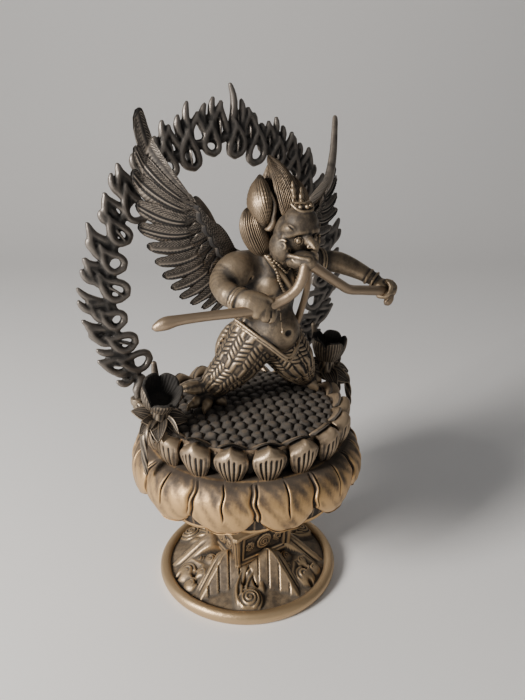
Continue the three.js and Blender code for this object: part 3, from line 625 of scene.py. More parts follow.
def upright_petal(turn, seed, wide, ahead, height, grooves, up_rows, columns):
    """One hooded petal: a closed shell, narrow at its foot, with deep upright grooves that stop under
    a smooth cap, which folds over and inward."""
    climb = np.linspace(0, 1, up_rows)
    across = np.sin(np.linspace(-1, 1, columns) * math.pi / 2)
    v, u = np.meshgrid(climb, across, indexing="ij")
    stops = [0, 0.2, 0.45, 0.66, 0.8, 0.9, 1]
    ring = through(stops, [0.6, 4.4, 6.6, 6.5, 4.4, 1.2, -3.4], v) + ahead
    tall = through(stops, [-1.4, 4.6, 11.6, 17.6, 21.2, 22.6, 21.4], v)
    half = through(stops, [4.6, 8.0, 10.6, 10.6, 9.0, 7.0, 3.8], v) * wide
    hollow = -5.4 * np.abs(u) ** 2.2 * (0.5 + 0.5 * smooth(v, 0, 0.3))
    peak = 1.7 * ridge(u, 0, 0.24) * smooth(v, 0.66, 0.84)
    droop = -3.8 * np.abs(u) ** 2.0 * smooth(v, 0.45, 0.9)
    cuts = np.zeros_like(u)
    brow = np.zeros_like(u)
    if grooves:
        for k, middle in enumerate((-0.6, -0.31, -0.02, 0.28, 0.58)):
            lean = middle + 0.015 * math.sin(seed * 3 + k) + 0.02 * math.sin(4 * seed) * v[:, :1]
            stop = 0.66 - 0.13 * abs(middle) + 0.025 * math.sin(seed * 5 + 2 * k)
            line = np.exp(-np.abs((u - lean) / 0.046) ** 2.6)
            cuts = cuts + line * smooth(v, stop + 0.05, stop - 0.05) * smooth(v, 0.03, 0.12)
        brow = 0.75 * smooth(v, 0.6, 0.72) * smooth(np.abs(u), 1, 0.8)
    rim = 0.45 * ridge(np.abs(u), 0.94, 0.05)
    ring = ring + hollow - 2.5 * cuts + rim + brow
    back = ring - 2.4 - 1.4 * (1 - u**2)
    back = np.where(v > 0.97, ring - 1.2, back)

    def placed(out, flat, high):
        across_mm = flat * half
        radius = CROWN_RADIUS + out
        return np.stack([radius * math.cos(turn) - across_mm * math.sin(turn),
                         radius * math.sin(turn) + across_mm * math.cos(turn),
                         LEDGE_HEIGHT - 1 + high * height], -1)

    front_net = placed(ring, u, tall + peak * 0.7 + droop)
    back_net = placed(back, u * 0.94, tall + droop - 0.6 * smooth(v, 0.6, 1))
    points = np.concatenate([front_net, back_net[:, ::-1]], 1)
    return points, woven(up_rows, columns * 2, round_columns=True)


def curled_leaf(turn, seed):
    """The edge of an inner petal behind a hooded one: a thin leaf whose wavy lip rolls outward."""
    v, u = np.meshgrid(np.linspace(0, 1, 12), np.sin(np.linspace(-1, 1, 20) * math.pi / 2), indexing="ij")
    wave = 0.5 * np.sin(3 * u + seed) * v
    out = through([0, 0.5, 0.8, 1], [-3.4, -3.8, -2.8, 0.4], v) - 3.4 * u**2 + wave
    tall = through([0, 0.5, 0.8, 1], [8, 17.6, 23.2, 24.6], v)
    tall = tall - 4.6 * np.abs(u) ** 2.4 * v + 0.6 * ridge(u, 0, 0.3) * v
    half = through([0, 0.5, 0.8, 1], [6, 9.2, 9.2, 8.4], v)

    def placed(ahead):
        radius = CROWN_RADIUS + out + ahead
        return np.stack([radius * math.cos(turn) - u * half * math.sin(turn),
                         radius * math.sin(turn) + u * half * math.cos(turn), LEDGE_HEIGHT - 1 + tall], -1)

    net = np.concatenate([placed(0), placed(-1.5)[:, ::-1]], 1)
    return net, woven(12, 40, round_columns=True)


def crown_bodies():
    """The petals of the crown, and how dark each point is: the small ones between are painted black as the
    shade in the gaps.
    """
    bodies = []
    soil_and_painted_shade = []
    for k in range(CROWN_PETALS):
        turn = CROWN_TURN + 2 * math.pi * k / CROWN_PETALS
        bodies.append(upright_petal(turn, k, 0.97, 0.0, 1.0, True, 26, 34))
        bodies.append(curled_leaf(turn + 0.03 * math.sin(5 * k), k))
        bodies.append(upright_petal(turn + math.pi / CROWN_PETALS, k + 60, 0.66, -8.4, 0.76, False, 14, 14))
        # The darkening of 1.2 on the small petal between paints it black as shade in the gap.
        for net, darkening in zip(bodies[-3:], (0.0, 0.12, 1.2)):
            soil_and_painted_shade.append(np.full(net[0].size // 3, darkening))
    return bodies, np.concatenate(soil_and_painted_shade)


crown_nets, crown_soil_and_painted_shade = crown_bodies()
cast("upright_petals", *gather(crown_nets), brown_bronze, "throne_bronze", "lotus_throne",
     reach=(3, 12), soil_and_painted_shade=crown_soil_and_painted_shade)

# Lotus throne, seed mound
# The low dome the figure stands on, packed with rounded seed knobs that touch each other, in
# slightly uneven rows. Cast with the throne, dull brown with dark seams.

MOUND_RADIUS = 60.5
MOUND_RIM = 132.3
MOUND_RISE = 4
KNOB_PITCH = 8


def seed_mound():
    """The dome of packed pebbles, and how soiled each point is: the gaps between them are black."""
    count = 172
    side = np.linspace(-1, 1, count)
    a, b = np.meshgrid(side, side, indexing="ij")
    x = a * np.sqrt(1 - b * b / 2) * MOUND_RADIUS
    y = b * np.sqrt(1 - a * a / 2) * MOUND_RADIUS
    turn = math.radians(14)
    row_gap = KNOB_PITCH * math.sin(math.pi / 3)
    lx = x * math.cos(turn) + y * math.sin(turn)
    ly = y * math.cos(turn) - x * math.sin(turn)
    nearest = np.full(x.shape, 99.0)
    second = np.full(x.shape, 99.0)
    which = np.zeros(x.shape)
    row_here = np.round(ly / row_gap)
    for step in (-1, 0, 1):
        row = row_here + step
        shift = (row % 2) / 2
        column_here = np.round(lx / KNOB_PITCH - shift)
        for side_step in (-1, 0, 1):
            column = column_here + side_step
            jitter = np.sin(row * 12.9 + column * 78.2)
            kx = (column + shift + 0.13 * jitter) * KNOB_PITCH
            ky = (row + 0.13 * np.sin(row * 39.3 + column * 11.1)) * row_gap
            far = np.hypot(lx - kx, ly - ky)
            closer = far < nearest
            second = np.where(closer, nearest, np.minimum(second, far))
            which = np.where(closer, jitter, which)
            nearest = np.where(closer, far, nearest)
    gap = second - nearest
    pebble = np.sqrt(1 - (1 - np.clip((gap - 0.5) / 3.2, 0, 1)) ** 2.2)
    dome = np.sqrt(np.clip(1 - (nearest / 4.6) ** 2, 0, 1))
    knob = 2.2 * pebble + 1.5 * dome - 2.3 + 0.3 * which
    far = np.hypot(x, y)
    rise = MOUND_RISE * np.clip(1 - (far / MOUND_RADIUS) ** 2, 0, 1)
    height = MOUND_RIM + rise + knob * smooth(far, MOUND_RADIUS, MOUND_RADIUS - 3)
    top = np.stack([x, y, height], -1)
    edge = np.concatenate([top[0, :-1], top[:-1, -1], top[-1, :0:-1], top[:0:-1, 0]])
    wall = np.stack([edge, edge - [0, 0, 8], edge * [0.03, 0.03, 1] - [0, 0, 8]])
    darkening = np.concatenate([smooth(gap, 2.0, 0.5).ravel(), np.full(3 * len(edge), 0.8)])
    return *gather([(top, woven(count, count)), (wall, woven(3, len(edge), round_columns=True))]), darkening


mound_points, mound_faces, mound_soil = seed_mound()
cast("seed_mound", mound_points, mound_faces, mound_bronze, "throne_bronze", "lotus_throne",
     reach=(3, 12), soil_and_painted_shade=mound_soil)

# Garuda, body
# A stout body leaning forward in a wide stride, arms flung out, in feathered trousers with a corded
# waist, on thick bird's feet. Cast in one with its head and the serpent, mid brown, rubbed golden.

FIGURE_HEIGHT = 168
FIGURE_FOOT = 136.8
FIGURE_MIDDLE = 3.5
HUNDREDTH = FIGURE_HEIGHT / 100
HIPS_MIDDLE = 3.4
LEG_RADIUS = 11.5
LEAF_WIDTH = 4.7
LEAF_LENGTH = 3.4

figure_bronze = bronze("figure_bronze", {
    "Rubbed": (0.33, 0.25, 0.165), "Coat": (0.045, 0.035, 0.026), "Dirt": (0.008, 0.0065, 0.0055),
    "Dust": (0.1, 0.085, 0.07), "Rub Amount": 0.3, "Edge Reach": 0.1, "Form Reach": 0.8,
    "Dust Amount": 0.18})


def at(across, back, up):
    """A place on the figure in hundredths of its height: across to its left, back, and up."""
    return np.array([FIGURE_MIDDLE + HUNDREDTH * across, HUNDREDTH * back, FIGURE_FOOT + HUNDREDTH * up])


def frame_along(direction, sideways=(0, 0, 1)):
    """Three square directions, the last along the one given."""
    along = np.asarray(direction, float) / np.linalg.norm(direction)
    side = np.cross(sideways, along)
    if np.linalg.norm(side) < 1e-3:
        side = np.cross((1, 0, 0), along)
    side /= np.linalg.norm(side)
    return np.stack([side, np.cross(along, side), along])


def offsets(centre, square, x, y, z):
    """How far points lie from a centre along each of three square directions."""
    offset = (x - centre[0], y - centre[1], z - centre[2])
    return [sum(offset[k] * axis[k] for k in range(3)) for axis in square]


class Clay:
    """A block to model in: how far each point of a fine lattice lies outside the surface."""

    def __init__(self, low, high, grain):
        self.low = np.array(low, float)
        self.grain = grain
        self.count = np.ceil((np.array(high, float) - self.low) / grain).astype(int) + 1
        self.outside = np.full(self.count, 6.0, np.float32)

    def press(self, low, high, distance, soft, cut=False):
        """Adds a shape to the clay, or cuts it out, with a soft fillet where the two meet."""
        first = np.clip(((np.array(low) - self.low) / self.grain).astype(int), 0, self.count)
        last = np.clip(np.ceil((np.array(high) - self.low) / self.grain).astype(int) + 1, 0, self.count)
        if (last <= first).any():
            return
        cell = tuple(slice(a, b) for a, b in zip(first, last))
        x, y, z = (self.low[k] + self.grain * np.arange(first[k], last[k]) for k in range(3))
        new = distance(x[:, None, None], y[None, :, None], z[None, None, :])
        sign = -1 if cut else 1
        old = sign * self.outside[cell]
        pull = np.maximum(soft - np.abs(old - new), 0) / soft
        self.outside[cell] = sign * (np.minimum(old, new) - pull * pull * soft / 4)

    def rod(self, joints, soft=1.5, cut=False, steps=1):
        """A bent rod through joints of place and radius, each (x, y, z, radius)."""
        joints = np.array([[*place, radius] for place, radius in joints], float)
        if steps > 1:
            stops = np.arange(len(joints))
            fine = np.linspace(0, len(joints) - 1, (len(joints) - 1) * steps + 1)
            joints = np.stack([through(stops, joints[:, k], fine) for k in range(4)], 1)
        reach = joints[:, 3:].max() + 2 * soft + self.grain

        def distance(x, y, z):
            near = None
            for a, b in zip(joints[:-1], joints[1:]):
                run = b[:3] - a[:3]
                t = ((x - a[0]) * run[0] + (y - a[1]) * run[1] + (z - a[2]) * run[2]) / (run @ run + 1e-9)
                t = np.clip(t, 0, 1)
                far = np.sqrt((x - a[0] - t * run[0]) ** 2 + (y - a[1] - t * run[1]) ** 2
                              + (z - a[2] - t * run[2]) ** 2) - (a[3] + (b[3] - a[3]) * t)
                near = far if near is None else np.minimum(near, far)
            return near

        self.press(joints[:, :3].min(0) - reach, joints[:, :3].max(0) + reach, distance, soft, cut)

    def egg(self, centre, radii, along=(0, 0, 1), soft=1.5, cut=False):
        """A rounded lump with three radii, the last along the direction given."""
        square = frame_along(along)
        radii = np.array(radii, float)
        reach = radii.max() + 2 * soft

        def distance(x, y, z):
            local = offsets(centre, square, x, y, z)
            once = np.sqrt(sum((p / r) ** 2 for p, r in zip(local, radii)))
            twice = np.sqrt(sum((p / r**2) ** 2 for p, r in zip(local, radii))) + 1e-6
            return once * (once - 1) / twice

        self.press(centre - reach, centre + reach, distance, soft, cut)

    def hoop(self, centre, along, radius, thick, soft=0.4):
        """A round ring of wire about the direction given."""
        square = frame_along(along)
        reach = radius + thick + 2 * soft

        def distance(x, y, z):
            local = offsets(centre, square, x, y, z)
            return np.hypot(np.sqrt(local[0] ** 2 + local[1] ** 2) - radius, local[2]) - thick

        self.press(centre - reach, centre + reach, distance, soft)

    def skin(self):
        """The surface as points and four-sided faces."""
        grid = openvdb.FloatGrid(6.0)
        grid.copyFromArray(self.outside)
        grid.transform = openvdb.createLinearTransform(voxelSize=self.grain)
        points, faces = grid.convertToQuads(0.0)
        return np.asarray(points, float) + self.low, np.asarray(faces)


def joints_of(*rows):
    """Joints for a rod, from rows of across, back, up and radius in hundredths of the figure."""
    return [(at(*row[:3]), row[3] * HUNDREDTH) for row in rows]


def beside(middle, side, *rows):
    """Joints on one side of a middle line, from rows of outward from it, back, up and radius."""
    return joints_of(*[(middle + side * row[0], *row[1:]) for row in rows])


def lump(clay, place, radii, along=(0, 0, 1), soft=1.0, cut=False):
    """A rounded lump on the figure, its place and radii in hundredths of the figure."""
    clay.egg(at(*place), np.array(radii) * HUNDREDTH, along, soft, cut)


LEG_JOINTS = {
    -1: joints_of((-1, -4, 28, 9.6), (-6, -1.5, 19, 8.6), (-12.5, 3.5, 10, 6.2), (-15.5, 6, 5, 4.2)),
    1: joints_of((9, -5, 27, 9.8), (15, -7.4, 17, 8.4), (21.5, -5, 8.6, 5.8), (25, -3.6, 5, 4.2)),
}


def model_trunk(clay):
    """The trunk, leaning forward from round hips: belly, breasts, flanks, neck and shoulders, and
    the raised line that the long string of beads lies on."""
    spine = joints_of((3.5, -3.5, 27, 9), (3, -7.5, 38, 8.6), (1, -10.5, 49, 9), (0, -13.5, 60, 5.4))
    clay.rod(spine, 4, steps=3)
    lump(clay, (3.5, -10.8, 32.4), (10.2, 9.6, 9.6), soft=5)
    lump(clay, (-3.2, -14.6, 52.4), (6.6, 4.2, 5.6), (0.2, 0, 1), 5)
    lump(clay, (4.8, -15, 52.4), (6.6, 4.2, 5.6), (-0.2, 0, 1), 5)
    lump(clay, (-5.6, -9.5, 46), (5, 6, 8), (0.1, 0, 1), 4)
    lump(clay, (7.6, -9.5, 46), (5, 6, 8), (-0.1, 0, 1), 4)
    clay.rod(joints_of((0, -14, 57, 5.4), (0.4, -19, 64, 5), (1, -24, 69.5, 4.6)), 3, steps=3)
    clay.rod(joints_of((0.5, -12, 60.5, 3.6), (-8, -9.6, 59.5, 4)), 3)
    clay.rod(joints_of((0.5, -12, 60.5, 3.6), (10, -10, 60, 4)), 3)
    for side in (-1, 1):
        crease = joints_of((0.9 + side * 4.6, -20.2, 48.6, 0.3), (0.9 + side * 6.6, -19.2, 48.2, 0.55),
                           (0.9 + side * 8.6, -16.8, 49.6, 0.3))
        clay.rod(crease, 1.4, cut=True, steps=3)
    necklace = joints_of((-5.6, -17.6, 64, 0.8), (-4, -20, 61, 1.0), (-1, -21.2, 57, 1.1),
                         (2.6, -20.8, 52.4, 1.0), (4.6, -19.8, 50.4, 0.9), (6.4, -18.4, 54, 0.9),
                         (8, -15, 60, 0.8))
    clay.rod(necklace, 0.6, steps=3)
    lump(clay, (3.3, -20.9, 33.6), (0.9, 1.4, 1.2), soft=1.4, cut=True)


def model_fist(clay, centre, grip, outward, size):
    """A closed hand round a bar: a palm, four curled fingers side by side along the bar, a thumb."""
    grip = np.asarray(grip, float) / np.linalg.norm(grip)
    outward = np.asarray(outward, float) - grip * np.dot(outward, grip)
    outward /= np.linalg.norm(outward)
    third = np.cross(grip, outward)
    clay.egg(centre - outward * 0.3 * size, (0.86 * size, 0.8 * size, 1.0 * size), grip, soft=1.2)
    for k in range(4):
        middle = centre + grip * (k - 1.5) * 0.47 * size
        bend = [(0.2, 1.0), (0.85, 0.7), (1.08, 0.0), (0.82, -0.72), (0.1, -0.95)]
        clay.rod([(middle + (outward * a + third * b) * size * 0.86, (0.25 - 0.012 * k) * size)
                  for a, b in bend], 0.35, steps=2)
        clay.egg(middle + (outward * 0.92 + third * 0.5) * size * 0.86, (0.28 * size,) * 3, soft=0.5)
    thumb = [(-0.62, 0.5, 0.7), (-0.8, 0.85, 0.25), (-0.45, 1.1, -0.12), (0.1, 1.16, -0.2)]
    clay.rod([(centre + (grip * g + outward * a + third * b) * size * 0.9, 0.27 * size)
              for g, a, b in thumb], 0.4, steps=2)


def model_right_arm(clay):
    """The right arm, bent forward with two arm rings at the wrist, its fist round the serpent."""
    arm = joints_of((-7, -10.5, 57.5, 5.8), (-13, -9.6, 57, 6), (-18, -10.8, 54.6, 5),
                    (-20.4, -14.4, 53, 4.1), (-20.6, -19, 51.8, 4.2), (-19.6, -24, 50.8, 3.2))
    clay.rod(arm, 3, steps=3)
    lump(clay, (-12.6, -10.4, 58), (6, 5.8, 6.4), (1, 0, 0.4), 3)
    armpit = joints_of((-9.4, -15, 57, 0.3), (-10, -15.6, 54, 0.45), (-10.8, -14.4, 51.4, 0.3))
    clay.rod(armpit, 1.2, cut=True)
    wrist = at(-19.9, -23, 51)
    forearm = at(-17.6, -28, 49.6) - at(-20.4, -18, 52)
    for shift, radius in ((-1.1, 4.1), (1.1, 4.3)):
        place = wrist + forearm / np.linalg.norm(forearm) * shift
        clay.hoop(place, forearm, radius * HUNDREDTH, 0.95)
    fist = joints_of((-19.6, -23.6, 51.2, 3.6), (-18.4, -26.4, 50.6, 4.4), (-15.6, -28.6, 49.8, 4.5),
                     (-13, -29.6, 47.6, 3.6), (-12, -30, 45.4, 2.2))
    clay.rod(fist, 1.5, steps=3)
    for knuckle in ((-20, -28.6, 49.2), (-17.6, -30.6, 48), (-15.2, -31.8, 46.8), (-13, -32, 46)):
        lump(clay, knuckle, (1.5, 1.7, 2.1), (0.4, 0, 1), 2.0)
    thumb = joints_of((-18.6, -27.6, 53, 1.3), (-15.8, -30.2, 53, 1.3), (-12.8, -31.8, 51.8, 1.1))
    clay.rod(thumb, 1.2, steps=3)
    for a, b, u in ((-18.6, -30.4, 47.6), (-16.2, -32, 46.4), (-14, -32.6, 45.4)):
        gap = joints_of((a + 0.4, b - 0.4, u + 3, 0.22), (a, b - 0.2, u, 0.3),
                        (a - 0.4, b + 2, u - 2, 0.22))
        clay.rod(gap, 0.9, True, 2)


def model_left_arm(clay):
    """The left arm, flung out and forward with rings above the elbow and at the wrist."""
    arm = joints_of((9, -11, 58.5, 5.8), (14, -11, 58, 5.8), (21, -11.5, 56.5, 4.8), (26, -12.4, 56, 4),
                    (31, -15.5, 55, 4.1), (35.6, -20.4, 52.6, 3.4), (39.6, -26.6, 49.4, 2.5))
    clay.rod(arm, 3, steps=3)
    lump(clay, (12.6, -11.4, 58.6), (5.6, 5.4, 6), (1, 0, -0.3), 3)
    upper_arm = at(26, -12.4, 56) - at(21, -11.5, 56.5)
    clay.hoop(at(23.6, -12, 56.2), upper_arm, 4.5 * HUNDREDTH, 0.9)
    clay.hoop(at(25, -12.2, 56.1), upper_arm, 4.3 * HUNDREDTH, 0.7)
    for share, radius in ((0.0, 2.9), (0.55, 3.1)):
        place = at(38.2, -24.6, 50.4) + (at(40.4, -28, 48.4) - at(38.2, -24.6, 50.4)) * share
        clay.hoop(place, at(41, -29.6, 47.6) - at(36, -21, 52.4), radius * HUNDREDTH, 0.8)
    model_fist(clay, at(41.2, -30.2, 46.8), (0.75, 0.35, -0.25), (0.35, -1, -0.45), 6.4)


def model_foot(clay, ankle, toes, spur):
    """A bird's foot: knuckled toes that grip the mound, each ending in a hooked claw."""
    for tip in toes:
        run = at(*tip) - at(*ankle)
        length = np.linalg.norm(run)
        side = np.array([0, 0, 1])
        joints = []
        for share, lift, radius in ((0, 0, 3.6), (0.3, 0.2, 3.0), (0.48, 0.13, 2.45), (0.66, 0.09, 2.75),
                                    (0.8, 0.02, 2.15)):
            joints.append((at(*ankle) + run * share + side * lift * length * 0.35, radius * 1.35))
        clay.rod(joints, 1.2, steps=2)
        claw = [(at(*ankle) + run * 0.8 + side * 0.4, 2.2), (at(*ankle) + run * 0.98 + side * 1.1, 2.0),
                (at(*ankle) + run * 1.1 - side * 1.2, 0.7)]
        clay.rod(claw, 0.5, steps=3)
        for share in (0.38, 0.58):
            place = at(*ankle) + run * share + side * (0.17 - 0.1 * share) * length * 0.35
            clay.hoop(place, run, 3.5 - 1.1 * share, 0.55, 0.5)
    clay.rod([(at(*ankle), 4.2), (at(*spur) + np.array([0, 0, 2.0]), 2.6), (at(*spur), 1.2)], 1.2, steps=2)


def model_cuff(clay, start, end, width, lobes):
    """The feathers that flow back from a trouser leg at the ankle, in overlapping pointed lobes."""
    run = at(*end) - at(*start)
    across = np.cross(run, (0, 0, 1))
    across /= np.linalg.norm(across)
    for k in range(lobes):
        spread = (k / (lobes - 1) - 0.5) * 2
        reach = 1 - 0.28 * abs(spread)
        up = np.array([0, 0, 2.6]) * (1 - spread**2)
        joints = [(at(*start) + across * spread * width * 0.6, 4.3),
                  (at(*start) + run * 0.5 * reach + across * spread * width + up, 3.2),
                  (at(*start) + run * reach + across * spread * width * 1.05 + up * 0.4, 0.7)]
        clay.rod(joints, 0.5, steps=3)


def model_legs(clay):
    """Both legs in a wide stride, each with its foot and the feathers behind the ankle."""
    for joints in LEG_JOINTS.values():
        clay.rod(joints, 4, steps=3)
    model_foot(clay, (-15.5, 5, 4.6), [(-21.6, -0.4, 0.7), (-25.8, 4, 1.4), (-12, 0.6, 0.6)],
               (-13, 11, 0.6))
    model_cuff(clay, (-17, 6.6, 7), (-29, 10.4, 7.4), 3.6, 4)
    model_foot(clay, (24.4, -3.6, 5), [(31.6, -5.6, 1.4), (31, -0.4, 1.6), (26.6, -9.6, 0.8)], (22, 3, 0.8))
    model_cuff(clay, (26, -2, 6.6), (33, 0.6, 6), 3, 3)


def model_waist(clay):
    """The cord that drops under the belly, and two short tassels that hang on it."""
    cord = [(-9.6, -4.5, 37), (-7.6, -12.5, 34), (-3.2, -18.2, 29.6), (0.8, -20.2, 25.6), (3.6, -20.7, 24),
            (6.6, -20.2, 25.4), (10.4, -17.6, 29), (13.4, -11.4, 33.6), (14, -4.2, 37)]
    for drop, radius in ((0, 0.62), (-1.45, 0.5)):
        clay.rod(joints_of(*[(a, b - 0.2, u + drop, radius) for a, b, u in cord]), 0.5, steps=4)
    for end in ((-5, -20.9, 39.7), (-0.4, -22, 35.1)):
        knot = np.array([-0.8, -20.6, 44.5])
        tip = np.array(end)
        for k in range(9):
            share = k / 8
            a, b, u = knot + (tip - knot) * share
            lump(clay, (a, b + 0.9 * share * (1 - share), u), (0.36, 0.36, 0.62), tip - knot, 0.3)
        lump(clay, tip, (0.7, 0.7, 1.0), tip - knot, 0.4)


def model_tail(clay):
    """The broad feathers of the short tail, behind the right thigh and the left."""
    for side in (-1, 1):
        for k, (out, low) in enumerate(((12.6, 17.4), (9.4, 15.6), (5.6, 15))):
            shaft = beside(HIPS_MIDDLE, side, (3, 0.4, 33, 2.6), (out * 0.6 + 2, 4, 29, 2.9),
                           (out, 6.4 + k, 22.6, 2.5), (out + 0.6, 7 + k, low, 1.5))
            clay.rod(shaft, 0.8, steps=3)
            groove = beside(HIPS_MIDDLE, side, (out * 0.6 + 4, 2.4, 29, 0.3),
                            (out + 2.3, 5.4 + k, 22.6, 0.45), (out + 1.6, 6.4 + k, low + 1, 0.3))
            clay.rod(groove, 0.6, True, 3)


def leg_lines(points, joints):
    """For each point: how far along the leg, round it, and off its middle line, in millimetres."""
    best = np.full(len(points), 1e9)
    along = np.zeros(len(points))
    around = np.zeros(len(points))
    start = 0.0
    for (a, ra), (b, rb) in zip(joints[:-1], joints[1:]):
        run = b - a
        length = np.linalg.norm(run)
        t = np.clip((points - a) @ run / length**2, 0, 1)
        offset = points - a - t[:, None] * run
        far = np.linalg.norm(offset, axis=1) / (ra + (rb - ra) * t)
        square = frame_along(run, (0, 1, 0))
        turn = np.arctan2(offset @ square[0], offset @ square[1])
        closer = far < best
        best = np.where(closer, far, best)
        along = np.where(closer, start + t * length, along)
        around = np.where(closer, turn * LEG_RADIUS, around)
        start += length
    return along, around, best


def feather_trousers(points, faces):
    """Presses rows of plump slanting feathers, mirrored column by column, into the trouser legs."""
    count = len(points)
    mesh = bpy.data.meshes.new("fitting")
    mesh.from_pydata(points.tolist(), [], faces.tolist())
    out = np.zeros(count * 3, np.float32)
    mesh.vertices.foreach_get("normal", out)
    out = out.reshape(-1, 3)
    bpy.data.meshes.remove(mesh)
    lift = np.zeros(count)
    up = (points[:, 2] - FIGURE_FOOT) / HUNDREDTH
    back = points[:, 1] / HUNDREDTH
    across = (points[:, 0] - FIGURE_MIDDLE) / HUNDREDTH
    for side, joints in LEG_JOINTS.items():
        along, around, off = leg_lines(points, joints)
        column = np.round(around / LEAF_WIDTH)
        inside = around / LEAF_WIDTH - column
        sweep = np.where(column % 2 == 0, 1, -1) * inside * LEAF_WIDTH * 0.75
        phase = (along + sweep) / LEAF_LENGTH
        leaf = np.abs(np.cos(math.pi * phase)) ** 0.55 * np.clip(1 - (2 * inside) ** 2, 0, 1) ** 0.35
        zone = smooth(off, 1.3, 1.12) * smooth(up, 4.5, 7.5)
        belly_line = 26.2 + 0.085 * (across - 3.6) ** 2
        front = smooth(back, -6, -12)
        zone *= 1 - front * smooth(up, belly_line - 3.4, belly_line - 2.2)
        zone *= smooth(up, 40, 36) * (side * (across - HIPS_MIDDLE) > -0.4)
        lift = np.maximum(lift, zone * (1.5 * leaf - 0.75))
        lift = np.where((zone > 0.3) & (lift == 0), zone * (1.5 * leaf - 0.75), lift)
    return points + out * lift[:, None]


body_clay = Clay(at(-34, -35, -2.5), at(47, 15, 70), 0.76)
for model in (model_trunk, model_right_arm, model_left_arm, model_legs, model_tail, model_waist):
    model(body_clay)
body_points, body_faces = body_clay.skin()
cast("garuda_body", feather_trousers(body_points, body_faces), body_faces, figure_bronze,
     "figure_bronze", "garuda_with_snake", reach=(4, 22))

# Garuda, head and crown
# A bird's face with a domed forehead, round ringed eyes, a short beak over a broad lower one, and a
# few jewels at the hair. Modelled finer than the body and cast in one with it.

HEAD_MIDDLE = 0.8


def model_skull(clay):
    """The round skull on its neck, a domed forehead over it and a swollen cheek at each side."""
    mid = HEAD_MIDDLE
    clay.rod(joints_of((0.2, -16, 61, 5), (mid, -23, 66.5, 5), (mid, -26, 70, 5)), 3, steps=3)
    lump(clay, (mid, -26.4, 71.6), (6.6, 7.6, 7.4), soft=2)
    lump(clay, (mid, -29.6, 76.4), (5.8, 5.6, 4.9), (0, -0.4, 1), 0.9)
    for side in (-1, 1):
        lump(clay, (mid + side * 5.0, -29.6, 74.2), (2.4, 3.2, 2.3), (0, 0.3, 1), 1.3)
        lump(clay, (mid + side * 6.2, -26.6, 67.8), (3.1, 4.6, 5.0), (0, 0.2, 1), 1.0)
        frown = beside(HEAD_MIDDLE, side, (6.3, -31.6, 75.6, 0.2), (5.2, -33, 74.2, 0.34),
                       (5.6, -33, 73, 0.34), (4.4, -34, 72.4, 0.2))
        clay.rod(frown, 0.5, True, 3)
        brow = beside(HEAD_MIDDLE, side, (1.2, -34, 73.6, 0.9), (3.4, -33.4, 73.6, 0.9),
                      (5.4, -31.6, 72.8, 0.9), (6.6, -29.6, 71.8, 0.9))
        clay.rod(brow, 1.8, steps=3)
        for a, b, u in ((6.2, -29.4, 64.6), (5.4, -30.2, 63), (6.6, -28, 63.4)):
            beard = beside(HEAD_MIDDLE, side, (a, b + 0.6, u + 1.4, 0.3), (a, b, u, 0.5),
                           (a - 0.8, b + 0.4, u - 1.2, 0.3))
            clay.rod(beard, 0.4, steps=2)


def model_eyes_and_ears(clay):
    """Round ringed eyes sunk under the brow, and a small coiled curl on each cheek."""
    for side in (-1, 1):
        eye = at(HEAD_MIDDLE + side * 3.5, -33.2, 70.7)
        look = np.array([side * 0.62, -1, 0.05])
        look /= np.linalg.norm(look)
        clay.egg(eye + look * 0.4, np.array([1.75, 1.75, 1.5]) * HUNDREDTH, look, 0.8, True)
        clay.egg(eye - look * 0.9, np.array([1.05, 1.05, 1.3]) * HUNDREDTH, look, 0.3)
        clay.hoop(eye + look * 0.2, look, 1.32 * HUNDREDTH, 0.3, 0.3)
        clay.egg(eye + look * 1.4, np.array([0.32, 0.32, 0.6]) * HUNDREDTH, look, 0.2, True)
        curl = []
        for k in range(17):
            turn = 2.2 - k * 0.6
            far = 1.9 * (1 - k / 20)
            curl.append((7.5 + 0.35 * far * math.cos(turn), -29.8 + far * math.cos(turn),
                         69.2 + far * math.sin(turn), 0.5))
        clay.rod(beside(HEAD_MIDDLE, side, *curl), 0.5, steps=2)


def model_beak(clay):
    """A short nub of an upper beak with round nostrils, and a broad flat lower one held under it."""
    nub = joints_of((HEAD_MIDDLE, -31, 71.4, 2.5), (0.5, -34, 70.8, 1.9), (0.3, -36.2, 70, 1.35),
                    (0.2, -37.8, 69, 0.7))
    clay.rod(nub, 1.4, steps=3)
    for side in (-1, 1):
        lump(clay, (0.4 + side * 1.0, -36.2, 69.1), (0.75, 1.0, 0.65), soft=0.8)
        lump(clay, (0.4 + side * 1.5, -36.8, 69.2), (0.3, 0.45, 0.3), soft=0.3, cut=True)
    gape = ((-5.6, -28, 67.4), (-4.4, -32, 67.3), (-2.4, -36, 67), (0.2, -39, 66.9), (3.2, -36, 67),
            (5.6, -32, 67.3))
    clay.rod(joints_of(*[(a, b, u, 0.5) for a, b, u in gape]), 0.4, True, 2)
    lump(clay, (-0.2, -32.2, 63.7), (5.2, 5.8, 3.1), (0, 0.1, 1), 1.0)
    lump(clay, (-0.6, -36, 63.8), (3.0, 2.6, 2.6), soft=1.5)
    for side in (-1, 1):
        edge = ((5.1, -29.4, 65.6), (4.7, -31.6, 65.8), (3.6, -35, 65.6), (1.6, -37.6, 65.2))
        clay.rod(joints_of(*[(-0.2 + side * a, b, u, 0.75) for a, b, u in edge]), 0.8, steps=3)
        rim = ((4.9, -33.0, 64.8), (4.4, -34.4, 64.0), (3.4, -36, 63.3), (2.2, -37.6, 62.8))
        clay.rod(joints_of(*[(-0.2 + side * a, b, u, 0.4) for a, b, u in rim]), 0.3, steps=3)
    clay.rod(joints_of((0.4, -35.6, 64.4, 1.6), (0.2, -37.2, 63.4, 1.2)), 0.6)


